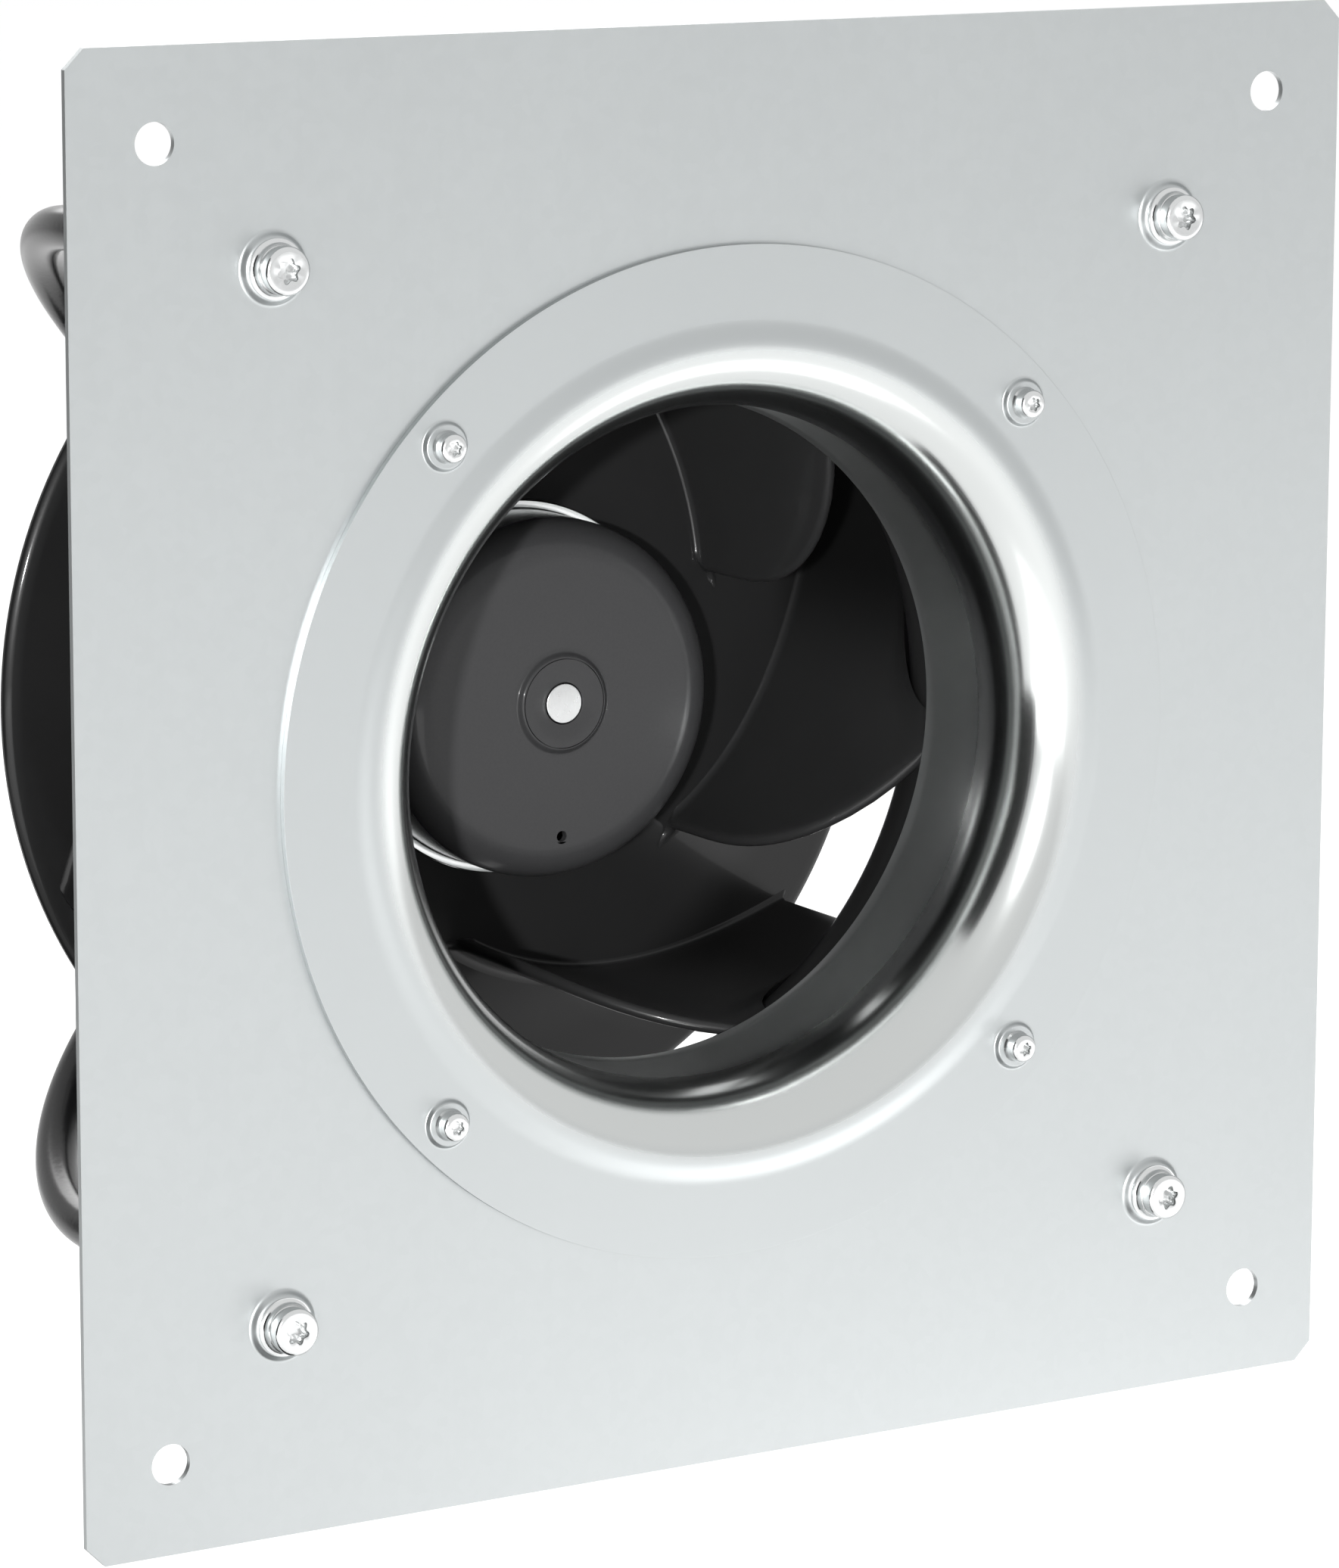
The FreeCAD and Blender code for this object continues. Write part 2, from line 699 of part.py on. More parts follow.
def shaft():
    """Stepped shaft: pressed nose in the bell, bearing seats and the retaining ring's groove."""
    nose = shaft_nose_diameter / 2
    seat = shaft_diameter / 2
    groove = seat - ring_groove_depth
    groove_front = rear_bearing_back + 2 * fit_gap
    groove_back = groove_front + ring_groove_width
    return turned_polygon([(0, rotor_front), (nose, rotor_front), (nose, front_bearing_front),
                           (seat, front_bearing_front), (seat, groove_front), (groove, groove_front),
                           (groove, groove_back), (seat, groove_back), (seat, shaft_back), (0, shaft_back)])


def retaining_ring():
    front = rear_bearing_back + 3 * fit_gap
    inner = shaft_diameter / 2 - ring_groove_depth + fit_gap
    return tube(retaining_ring_diameter / 2, inner, front, ring_groove_width - 2 * fit_gap)


def bearing_races(front):
    """Outer race, inner race and the ring of balls and cage between them."""
    bore = shaft_diameter / 2 + seat_gap
    outer = tube(bearing_radius, bearing_radius - bearing_race, front, bearing_width)
    inner = tube(bore + bearing_race, bore, front, bearing_width)
    cage = tube(bearing_radius - bearing_race - bearing_ball_play, bore + bearing_race + press_gap,
                front + bearing_cage_inset, bearing_width - 2 * bearing_cage_inset)
    return outer, inner, cage


def bearing_tube():
    """Flanged tube that carries both bearings and the stator, pressed into the housing."""
    lip = tube_bore - bearing_tube_lip
    seat_back = rear_bearing_back + spring_gap
    seat_end = seat_back - bearing_tube_end
    seat_front = front_bearing_front - seat_gap
    return turned_polygon([(lip, bearing_tube_front), (tube_radius, bearing_tube_front),
                           (tube_radius, seat_back), (lip, seat_back), (lip, seat_end),
                           (tube_bore, seat_end), (tube_bore, seat_front), (lip, seat_front)])


def preload_spring():
    """Wave washer between the rear bearing and the end of its seat, drawn as a dished ring."""
    front = rear_bearing_back + seat_gap
    back = rear_bearing_back + spring_gap - bearing_tube_end - seat_gap
    outer = tube_bore - bolt_hole_gap
    inner = outer - spring_width
    return turned_polygon([(outer, front), (outer, front + spring_sheet),
                           (inner, back), (inner, back - spring_sheet)])


def stator_core():
    """Laminated ring with teeth that carry the coils."""
    yoke = stator_bore + stator_yoke
    core = tube(yoke, stator_bore, stator_front, stator_length)
    tip_inner = stator_radius - tooth_lip
    tip_ring = tube(stator_radius, tip_inner, stator_front, stator_length)
    teeth = []
    for step in range(stator_teeth):
        angle = 360.0 / stator_teeth * step
        leg = Part.makeBox(stator_radius - tooth_lip / 2 - stator_bore - stator_yoke / 2, stator_length, tooth_width,
                           Vector(stator_bore + stator_yoke / 2, stator_front, -tooth_width / 2))
        teeth.append(turned_about(leg, angle))
    slots = []
    for step in range(stator_teeth):
        angle = 360.0 / stator_teeth * (step + 0.5)
        slot = Part.makeBox(tooth_lip + 2 * overrun, stator_length + 2 * overrun, slot_opening,
                            Vector(tip_inner - overrun, stator_front - overrun, -slot_opening / 2))
        slots.append(turned_about(slot, angle))
    return core.fuse(teeth + [tip_ring.cut(slots)]).removeSplitter()


def stator_coils():
    """One coil round each tooth, a rounded frame of wound wire."""
    inner = stator_bore + stator_yoke + coil_end_gap
    outer = stator_radius - tooth_lip - coil_end_gap
    depth = outer - inner
    wide = tooth_width / 2 + coil_gap
    long = stator_length / 2 + coil_gap
    middle = stator_front + stator_length / 2
    block_wide = min(wide + coil_wall, math.tan(math.pi / stator_teeth) * inner - coil_gap / 2)
    block_long = long + coil_overhang
    block = Part.makeBox(depth, 2 * block_long, 2 * block_wide, Vector(inner, middle - block_long, -block_wide))
    window = Part.makeBox(depth + 2 * overrun, 2 * long, 2 * wide,
                          Vector(inner - overrun, middle - long, -wide))
    coil = block.cut(window)
    return [turned_about(coil, 360.0 / stator_teeth * step) for step in range(stator_teeth)]


# Motor housing

def housing_posts(diameter, circle, back, angles):
    posts = []
    for angle in angles:
        place = at(circle / 2, 0, angle)
        front = housing_front + housing_front_wall
        posts.append(disc(diameter / 2, front, back - front, place.x, place.z))
    return posts


def motor_housing():
    """Cast pot behind the impeller, with cooling ribs, strut posts and cover posts."""
    inner = housing_radius - housing_wall
    floor = housing_front + housing_front_wall
    bore = tube_radius + seat_gap
    spigot = rotor_bore - spigot_gap
    spigot_front = rotor_back - spigot_depth
    pot = turned_polygon([(bore, housing_front), (housing_radius, housing_front), (housing_radius, housing_back),
                          (inner, housing_back), (inner, floor), (bore, floor)])
    ribs = []
    for step in range(housing_rib_count):
        rib = Part.makeBox(housing_rib_height + housing_wall / 2, housing_depth - 2 * housing_rib_margin,
                           housing_rib_width, Vector(housing_radius - housing_wall / 2,
                                                     housing_front + housing_rib_margin, -housing_rib_width / 2))
        angle = 360.0 / housing_rib_count * (step + 0.5)
        if housing_radius * math.radians(abs(angle - 270.0)) > gland_pad_diameter / 2 + housing_rib_width:
            ribs.append(turned_about(rib, angle))
    collar = tube(spigot, spigot - spigot_wall, spigot_front, housing_front + housing_front_wall / 2 - spigot_front)
    posts = housing_posts(lug_post_diameter, lug_circle, lug_front, quarter_angles)
    inside = disc(housing_radius, housing_front, lug_front - housing_front)
    posts = [post.common(inside) for post in posts]
    pad = Part.makeCylinder(gland_pad_diameter / 2, gland_pad_height + housing_radius - inner,
                            Vector(0, gland_station(), -inner), Vector(0, 0, -1))
    reach = math.sqrt(inner ** 2 - (gland_pad_diameter / 2) ** 2)
    pad = pad.fuse(Part.makeCylinder(gland_pad_diameter / 2, inner - reach,
                                     Vector(0, gland_station(), -reach), Vector(0, 0, -1)))
    pad = pad.cut(disc(inner, housing_front, housing_depth))
    small_posts = housing_posts(cover_post_diameter, cover_screw_circle, housing_back, cover_screw_angles)
    pot = pot.fuse(ribs + posts + small_posts + [collar, pad]).removeSplitter()
    for angle in quarter_angles:
        place = at(lug_radius, 0, angle)
        depth = lug_screw_length - lug_thickness + 2 * overrun
        pot = pot.cut(disc(lug_screw_diameter / 2 + fit_gap, lug_front - depth, depth + overrun, place.x, place.z))
    for angle in cover_screw_angles:
        place = at(cover_screw_circle / 2, 0, angle)
        depth = cover_screw_length - cover_thickness
        hole = disc(cover_screw_diameter / 2 + fit_gap, housing_back - depth, depth + overrun, place.x, place.z)
        pot = pot.cut(hole)
    gland_hole = Part.makeCylinder(gland_thread_diameter / 2 + gland_thread_gap, gland_pad_diameter,
                                   Vector(0, gland_station(), -inner + gland_pad_diameter / 2), Vector(0, 0, -1))
    return pot.cut(gland_hole)


def gland_station():
    return housing_front + housing_front_wall + gland_body_width / 2 + gland_floor_gap


def post_notches(shape):
    """Cut a gasket or cover clear of the posts that carry the struts."""
    for angle in quarter_angles:
        place = at(lug_radius, 0, angle)
        shape = shape.cut(disc(lug_post_diameter / 2 + cover_notch_gap, housing_back - overrun,
                               cover_back + 2 * overrun - housing_back, place.x, place.z))
    return shape


def cover_screw_holes(shape):
    for angle in cover_screw_angles:
        place = at(cover_screw_circle / 2, 0, angle)
        shape = shape.cut(disc(cover_screw_diameter / 2 + screw_hole_gap, housing_back - overrun,
                               cover_back + 2 * overrun - housing_back, place.x, place.z))
    return shape


def cover_gasket():
    ring = tube(housing_radius, housing_radius - gasket_width, housing_back, gasket_thickness)
    return cover_screw_holes(post_notches(ring))


def electronics_cover():
    """Moulded rear cover with a raised middle, notched round the strut posts."""
    dome = cover_dome_radius
    dome_top = dome - cover_dome_slope
    wall = cover_thickness / 2
    lid = turned_polygon([(0, cover_front + cover_dome_height), (dome_top - wall, cover_front + cover_dome_height),
                          (dome - wall, cover_front), (housing_radius, cover_front), (housing_radius, cover_back),
                          (dome, cover_back), (dome_top, cover_back + cover_dome_height),
                          (0, cover_back + cover_dome_height)])
    return cover_screw_holes(post_notches(lid))


def cover_screws():
    screws = []
    for angle in cover_screw_angles:
        place = at(cover_screw_circle / 2, 0, angle)
        head = disc(cover_screw_head / 2, cover_back, cover_screw_head_height, place.x, place.z)
        length = cover_screw_length - gasket_thickness
        shank = disc(cover_screw_diameter / 2, cover_back - length, length, place.x, place.z)
        screws.append(head.fuse(shank).removeSplitter())
    return screws


def circuit_board():
    board = disc(board_radius, board_front, board_thickness)
    return board.cut(disc(board_bore_diameter / 2, board_front - overrun, board_thickness + 2 * overrun))


def board_supports():
    """Sleeves that hold the board off the housing's floor."""
    supports = []
    floor = housing_front + housing_front_wall
    for angle in support_angles:
        place = at(board_radius - support_inset, 0, angle)
        supports.append(disc(support_diameter / 2, floor, board_front - floor, place.x, place.z))
    return supports


def board_components():
    """Capacitors, choke and power stage on the rear of the board."""
    rear = board_front + board_thickness
    parts = []
    for angle in capacitor_angles:
        place = at(component_circle / 2, 0, angle)
        parts.append(disc(capacitor_diameter / 2, rear, capacitor_height, place.x, place.z))
    choke = at(component_circle / 2, 0, choke_angle)
    ring = disc(choke_diameter / 2, rear, choke_height, choke.x, choke.z)
    parts.append(ring.cut(disc(choke_bore / 2, rear - overrun, choke_height + 2 * overrun, choke.x, choke.z)))
    parts.append(Part.makeBox(*power_stage_size, Vector(-power_stage_size[0] / 2, rear, -power_stage_drop)))
    parts.append(Part.makeBox(*terminal_size, Vector(terminal_offset, rear, -terminal_size[2])))
    return parts


def cable_gland():
    """Body, cap nut and lock nut of the gland, on one axis that points down."""
    down = Vector(0, 0, -1)
    place = Vector(0, gland_station(), 0)
    corner = gland_body_width / 2 / math.cos(math.radians(30))
    inner_wall = math.sqrt((housing_radius - housing_wall) ** 2 - corner ** 2) - seat_gap
    nut_top = inner_wall - gland_nut_thickness
    thread_top = nut_top - gland_thread_spare
    body_top = housing_radius + gland_pad_height + seat_gap
    cap_top = body_top + gland_body_length + gland_thread_gap
    cap_barrel = gland_cap_length - gland_cap_taper

    def prism(top, length):
        corners = []
        for step in range(7):
            turn = math.radians(60.0 * step)
            corners.append(place + Vector(corner * math.cos(turn), corner * math.sin(turn), -top))
        return Part.Face(Part.makePolygon(corners)).extrude(down * length)

    def rod(radius, top, length):
        return Part.makeCylinder(radius, length, place + down * top, down)

    bore = rod(gland_bore_diameter / 2, thread_top - overrun, cap_top + gland_cap_length + 2 * overrun - thread_top)
    thread = rod(gland_thread_diameter / 2, thread_top, body_top - thread_top)
    stem = rod(gland_thread_diameter / 2, body_top + gland_body_length, gland_stem_length)
    body = prism(body_top, gland_body_length).fuse([thread, stem]).removeSplitter().cut(bore)
    nose = Part.makeCone(gland_body_width / 2, gland_body_width / 2 - gland_cap_taper, gland_cap_taper,
                         place + down * (cap_top + cap_barrel), down)
    cap = prism(cap_top, cap_barrel).fuse(nose).removeSplitter()
    threaded = gland_thread_diameter / 2 + fit_gap
    cap = cap.cut(rod(threaded, cap_top - overrun, gland_stem_length + 2 * overrun)).cut(bore)
    nut = prism(nut_top, gland_nut_thickness).cut(rod(threaded, nut_top - overrun, gland_nut_thickness + 2 * overrun))
    return body, cap, nut


def main():
    os.makedirs("parts", exist_ok=True)
    save("mounting_plate", mounting_plate())
    save("inlet_nozzle", inlet_nozzle())
    save("nozzle_screws", nozzle_screws())
    save("nozzle_nuts", nozzle_nuts())
    save("strut_washers", strut_washers())
    save("strut_bolts", strut_bolts())
    one_strut = strut()
    names = ("strut_top_right", "strut_top_left", "strut_bottom_left", "strut_bottom_right")
    for name, angle in zip(names, quarter_angles):
        save(name, turned_about(one_strut, angle))
    save("lug_screws", lug_screws())
    save("impeller_wheel", impeller_wheel())
    save("impeller_shroud", impeller_shroud())
    save("hub_ring", tube(hub_ring_radius, rotor_radius + fit_gap / 2, hub_ring_front, hub_ring_length))
    save("rotor_bell", rotor_bell())
    save("rotor_magnets", tube(magnet_outer, magnet_inner, magnet_front, magnet_length))
    save("shaft", shaft())
    save("retaining_ring", retaining_ring())
    for name, front in (("front_bearing", front_bearing_front), ("rear_bearing", rear_bearing_front)):
        outer, inner, cage = bearing_races(front)
        save(name + "_outer_race", outer)
        save(name + "_inner_race", inner)
        save(name + "_balls", cage)
    save("bearing_tube", bearing_tube())
    save("preload_spring", preload_spring())
    save("stator_core", stator_core())
    save("stator_coils", stator_coils())
    save("motor_housing", motor_housing())
    save("cover_gasket", cover_gasket())
    save("electronics_cover", electronics_cover())
    save("cover_screws", cover_screws())
    save("circuit_board", circuit_board())
    save("board_supports", board_supports())
    save("board_components", board_components())
    body, cap, nut = cable_gland()
    save("gland_body", body)
    save("gland_cap", cap)
    save("gland_nut", nut)


main()
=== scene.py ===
"""Plug fan, dressed for the studio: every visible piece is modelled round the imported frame.

Lengths are metres in the frame's own axes: +Z up, +X right, and the air enters along +Y. The fan's
axis is the Y axis, and the mounting plate's front face lies at Y = 0.
"""

import json
import math

import bmesh
import bpy
from bpy.props import FloatProperty, FloatVectorProperty, IntProperty, PointerProperty
from mathutils import Matrix, Vector


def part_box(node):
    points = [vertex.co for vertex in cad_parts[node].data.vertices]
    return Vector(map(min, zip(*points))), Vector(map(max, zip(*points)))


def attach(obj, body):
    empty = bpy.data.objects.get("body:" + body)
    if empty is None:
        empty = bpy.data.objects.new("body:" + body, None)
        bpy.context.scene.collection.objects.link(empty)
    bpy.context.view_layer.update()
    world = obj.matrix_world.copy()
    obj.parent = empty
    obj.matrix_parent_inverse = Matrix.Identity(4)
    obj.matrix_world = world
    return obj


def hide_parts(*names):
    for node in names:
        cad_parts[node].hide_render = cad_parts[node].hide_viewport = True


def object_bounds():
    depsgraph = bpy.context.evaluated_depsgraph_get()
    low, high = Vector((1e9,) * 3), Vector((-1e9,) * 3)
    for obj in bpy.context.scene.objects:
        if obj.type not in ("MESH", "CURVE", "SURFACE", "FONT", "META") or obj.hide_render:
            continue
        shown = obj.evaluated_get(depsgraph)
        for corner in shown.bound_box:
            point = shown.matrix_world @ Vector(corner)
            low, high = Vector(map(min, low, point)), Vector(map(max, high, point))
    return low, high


bl_info = {
    "name": "Plug fan",
    "version": (1, 0, 0),
    "blender": (4, 5, 0),
    "location": "3D View > Sidebar > Plug fan",
    "description": "Builds the pieces, finishes and studio of a plug fan round its packed frame",
    "category": "Object",
}

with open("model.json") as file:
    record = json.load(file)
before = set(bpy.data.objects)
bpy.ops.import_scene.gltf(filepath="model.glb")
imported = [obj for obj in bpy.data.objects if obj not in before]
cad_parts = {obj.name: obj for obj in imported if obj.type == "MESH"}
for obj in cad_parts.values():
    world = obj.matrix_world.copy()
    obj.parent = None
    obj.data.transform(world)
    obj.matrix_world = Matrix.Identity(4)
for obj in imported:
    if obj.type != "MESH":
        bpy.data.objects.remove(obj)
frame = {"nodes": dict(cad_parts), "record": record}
CAD_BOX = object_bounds()

# Places of the four struts and of all that sits with them, in degrees about the axis
QUARTERS = (45.0, 135.0, 225.0, 315.0)

# Which way a screw's head points along the axis, and the way that the fan's front faces look
FRONT = -1
BACK = 1
OUTWARDS = Vector((0, -1, 0))

# Points round a circle
ROUND = 216
NOZZLE_ROUND = 288
ROTOR_ROUND = 192
SMALL_ROUND = 64

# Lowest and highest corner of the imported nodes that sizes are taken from
PLATE_LOW, PLATE_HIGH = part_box("mounting_plate")
NOZZLE_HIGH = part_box("inlet_nozzle")[1]
BOLT_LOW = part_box("strut_bolts")[0]
SCREW_LOW, SCREW_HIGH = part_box("nozzle_screws")
LUG_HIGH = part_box("lug_screws")[1]
SHROUD_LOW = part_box("impeller_shroud")[0]
WHEEL_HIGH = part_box("impeller_wheel")[1]
RING_LOW, RING_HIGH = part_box("hub_ring")
BELL_LOW, BELL_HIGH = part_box("rotor_bell")
SHAFT_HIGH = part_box("shaft")[1]
HOUSING_LOW, HOUSING_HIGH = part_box("motor_housing")
COVER_LOW, COVER_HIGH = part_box("electronics_cover")
GLAND_LOW, GLAND_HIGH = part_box("gland_cap")


def length(name, description, default):
    return FloatProperty(name=name, description=description, default=default, unit="LENGTH", precision=5)


def angle(name, description, degrees):
    return FloatProperty(name=name, description=description, default=math.radians(degrees), subtype="ANGLE")


def colour(name, description, default):
    return FloatVectorProperty(name=name, description=description, default=default, size=3, min=0.0, max=1.0,
                               subtype="COLOR")


# Sizes that a user may change

class PlateSizes(bpy.types.PropertyGroup):
    side: length("Side", "Side of the square mounting plate", PLATE_HIGH.x - PLATE_LOW.x)
    thickness: length("Thickness", "Thickness of the plate's sheet", PLATE_HIGH.y)
    corner_cut: length("Corner cut", "Length cut off each side at a corner", 0.0043)
    hole_spacing: length("Hole spacing", "Side of the square of the mounting holes", 0.280)
    hole_diameter: length("Hole diameter", "Diameter of a mounting hole", 0.009)
    mouth_radius: length("Mouth hole radius", "Radius of the hole behind the nozzle", 0.0905)
    boss_diameter: length("Boss diameter", "Foot of the pressed boss round a strut bolt", 0.0162)
    boss_top: length("Boss top diameter", "Flat top of that boss", 0.0128)
    boss_height: length("Boss height", "How far the boss stands forward", -PLATE_LOW.y)


class NozzleSizes(bpy.types.PropertyGroup):
    flange_radius: length("Flange radius", "Outer radius of the flat flange", NOZZLE_HIGH.x)
    sheet: length("Sheet", "Thickness of the spun sheet", 0.0015)
    rim_radius: length("Rim radius", "Where the flange starts to rise towards the mouth", 0.0962)
    rim_rise: length("Rim rise", "How far the mouth's rim stands forward of the flange", 0.0007)
    mouth_radius: length("Mouth radius", "Where the rim turns into the mouth", 0.0905)
    mouth_depth: length("Mouth depth", "Axial depth of the rounded mouth", 0.020)
    throat_radius: length("Throat radius", "Radius at the end of the mouth", 0.0756)
    exit_radius: length("Exit radius", "Radius at the nozzle's rear end", 0.076)
    exit_station: length("Exit station", "Station of the nozzle's rear end", NOZZLE_HIGH.y)
    bead: length("Bead", "How far the nozzle's rear end is rolled inwards", 0.0007)
    boss_diameter: length("Boss diameter", "Foot of the pressed boss round a nozzle screw", 0.0112)
    boss_top: length("Boss top diameter", "Flat top of that boss", 0.0092)
    boss_height: length("Boss height", "How far the boss stands forward", 0.0011)


class FastenerSizes(bpy.types.PropertyGroup):
    strut_circle: length("Strut circle radius", "Radius at which the struts and their bolts sit", 0.160)
    bolt_head: length("Bolt head diameter", "Head of a strut bolt", 0.0103)
    bolt_front: length("Bolt front", "Station of the strut bolts' heads", BOLT_LOW.y)
    bolt_seam: length("Bolt head height", "Height of the plain part of the head", 0.0034)
    bolt_socket: length("Bolt socket", "Reach of the six-lobed socket from its middle", 0.0028)
    washer_radius: length("Washer radius", "Foot of the flared washer", 0.0064)
    nozzle_spacing: length("Nozzle screw spacing", "Side of the square of the nozzle screws", 0.147)
    nozzle_front: length("Nozzle screw front", "Station of the nozzle screws' heads", SCREW_LOW.y)
    nozzle_back: length("Nozzle screw end", "Station of the nozzle screws' ends", SCREW_HIGH.y)
    nozzle_head: length("Nozzle screw head", "Diameter of a nozzle screw's head", 0.0063)
    nozzle_thread: length("Nozzle screw thread", "Diameter of a nozzle screw's thread", 0.004)
    nozzle_pitch: length("Thread pitch", "Pitch of a nozzle screw's thread", 0.0007)
    nut_width: length("Nut width", "Width of a nozzle nut across its flats", 0.007)
    nut_height: length("Nut height", "Height of a nozzle nut", 0.0032)


class StrutSizes(bpy.types.PropertyGroup):
    diameter: length("Diameter", "Diameter of the round bar", 0.010)
    bend_radius: length("Bend radius", "Radius of the wide bend at the rear", 0.063)
    run_station: length("Run station", "Centre line of the run behind the impeller", 0.1548)
    lug_radius: length("Lug radius", "Radius at which a strut is screwed to the motor", 0.050)
    lug_width: length("Lug width", "Width of the flattened end", 0.014)
    lug_thickness: length("Lug thickness", "Thickness of the flattened end", 0.005)
    lug_length: length("Lug length", "Flat length in front of the screw", 0.012)
    taper: length("Taper", "Length over which the bar turns flat", 0.009)
    screw_head: length("Screw head", "Diameter of a lug screw's head", 0.009)
    screw_top: length("Screw top", "Station of the lug screws' heads", LUG_HIGH.y)


class ImpellerSizes(bpy.types.PropertyGroup):
    blades: IntProperty(name="Blades", description="Number of blades", default=6, min=2)
    radius: length("Radius", "Outer radius of disc and shroud", WHEEL_HIGH.x)
    eye_radius: length("Eye radius", "Inner radius of the shroud's lip", 0.080)
    wall: length("Wall", "Wall of disc and shroud", 0.0022)
    lip: length("Lip", "Straight length of the shroud's lip", 0.006)
    shroud_front: length("Shroud front", "Station of the shroud's lip", SHROUD_LOW.y)
    shroud_depth: length("Shroud depth", "Axial length of the shroud's curve", 0.042)
    hub_radius: length("Hub radius", "Radius of the disc's bore", 0.04405)
    hub_wall: length("Hub wall", "Wall of the disc's collar", 0.0034)
    hub_front: length("Hub front", "Station of the disc at its bore", 0.1019)
    hub_back: length("Hub back", "Station of the collar's rear end", RING_HIGH.y)
    rise: length("Rise", "How far the disc runs back from bore to rim", 0.0256)
    crown: length("Crown", "Bulge of the disc's cone", 0.0017)
    root_radius: length("Root radius", "Radius of the blades' roots", 0.0635)
    tip_radius: length("Tip radius", "Radius of the blades' tips", 0.1112)
    root_thickness: length("Root thickness", "Thickness of a blade at its leading edge", 0.003)
    tip_thickness: length("Tip thickness", "Thickness of a blade at its trailing edge", 0.002)
    fillet: length("Fillet", "Fillet between a blade and the disc", 0.0026)
    start: angle("Start", "Place of the first blade's root", 24.5)
    root_angle: angle("Root angle", "Blade angle at the root", 24.0)
    middle_angle: angle("Middle angle", "Blade angle half-way", 28.0)
    tip_angle: angle("Tip angle", "Blade angle at the tip", 36.5)
    edge_power: FloatProperty(name="Edge sweep", description="How late the leading edge sweeps outwards",
                              default=3.0)


class RotorSizes(bpy.types.PropertyGroup):
    radius: length("Radius", "Radius of the rotor bell", BELL_HIGH.x)
    front: length("Front", "Station of the bell's front face", BELL_LOW.y)
    back: length("Back", "Station of the bell's open end", BELL_HIGH.y)
    edge: length("Edge radius", "Radius of the bell's front edge", 0.0085)
    wall: length("Wall", "Wall of the bell", 0.0018)
    boss: length("Boss radius", "Radius of the raised boss round the shaft", 0.0104)
    boss_foot: length("Boss foot", "Radius at which that boss starts to rise", 0.0121)
    boss_height: length("Boss height", "How far that boss stands forward", 0.0012)
    shaft_radius: length("Shaft radius", "Radius of the shaft's end", 0.00465)
    vent_radius: length("Vent radius", "Radius of the small vent hole", 0.00125)
    vent_place: length("Vent place", "Distance of the vent hole from the axis", 0.0313)
    paint_end: length("Paint end", "Station where the dark paint ends", 0.0853)


class HousingSizes(bpy.types.PropertyGroup):
    radius: length("Radius", "Radius of the motor housing", COVER_HIGH.x)
    wall: length("Wall", "Wall of the housing", 0.0026)
    floor: length("Floor", "Thickness of the housing's front floor", 0.003)
    front: length("Front", "Station of the housing's floor", 0.1196)
    back: length("Back", "Station of the housing's rear edge", 0.1486)
    bore: length("Bore", "Radius of the bore for the bearing tube", 0.01326)
    spigot: length("Spigot", "Radius of the collar that reaches into the rotor", 0.0376)
    spigot_wall: length("Spigot wall", "Wall of that collar", 0.002)
    spigot_front: length("Spigot front", "Station of that collar's front end", HOUSING_LOW.y)
    rib_gap: angle("Rib gap", "Angle from one cooling rib to the next", 10.0)
    rib_first: angle("First rib", "Place of the first rib, beside the cable gland's pad", 285.0)
    ribs: IntProperty(name="Ribs", description="Number of cooling ribs", default=34)
    rib_height: length("Rib height", "How far a rib stands out", 0.0016)
    rib_width: length("Rib width", "Thickness of a rib at its foot", 0.0018)
    rib_margin: length("Rib margin", "Distance of a rib's ends from the housing's edges", 0.0025)
    post_radius: length("Post radius", "Radius of a strut post", 0.0075)
    post_back: length("Post back", "Station of the strut posts' rear ends", HOUSING_HIGH.y)
    cover_front: length("Cover front", "Station of the cover's front face", COVER_LOW.y)
    cover_wall: length("Cover wall", "Thickness of the cover", 0.0022)
    dome_radius: length("Dome radius", "Radius of the cover's raised middle", 0.036)
    dome_slope: length("Dome slope", "Radial width of the slope up to the raised middle", 0.003)
    dome_height: length("Dome height", "How far the cover's middle stands out", 0.005)
    notch_gap: length("Notch gap", "Clearance between the cover and a strut post", 0.0004)
    screw_circle: length("Screw circle", "Radius at which the cover's screws sit", 0.0515)
    screw_first: angle("First cover screw", "Place of the first cover screw", 67.5)
    screw_head: length("Cover screw head", "Diameter of a cover screw's head", 0.0056)
    screw_height: length("Cover screw height", "Height of a cover screw's head", 0.002)


class GlandSizes(bpy.types.PropertyGroup):
    station: length("Station", "Station of the gland's axis", (GLAND_LOW.y + GLAND_HIGH.y) / 2)
    pad_radius: length("Pad radius", "Radius of the flat pad on the housing", 0.0125)
    pad_end: length("Pad end", "Distance of the pad's face from the fan's axis", 0.0595)
    width: length("Width", "Width of the hexagons across their flats", 0.020)
    body_top: length("Body top", "Where the gland's body starts, below the fan's axis", 0.05952)
    body_length: length("Body length", "Length of the body's hexagon", 0.006)
    cap_end: length("Cap end", "Where the cap nut ends, below the fan's axis", -GLAND_LOW.z)
    cap_taper: length("Cap taper", "Length of the cap's rounded end", 0.003)
    thread_radius: length("Thread radius", "Radius of the gland's thread", 0.008)
    bore: length("Bore", "Radius of the opening for the cable", 0.004)


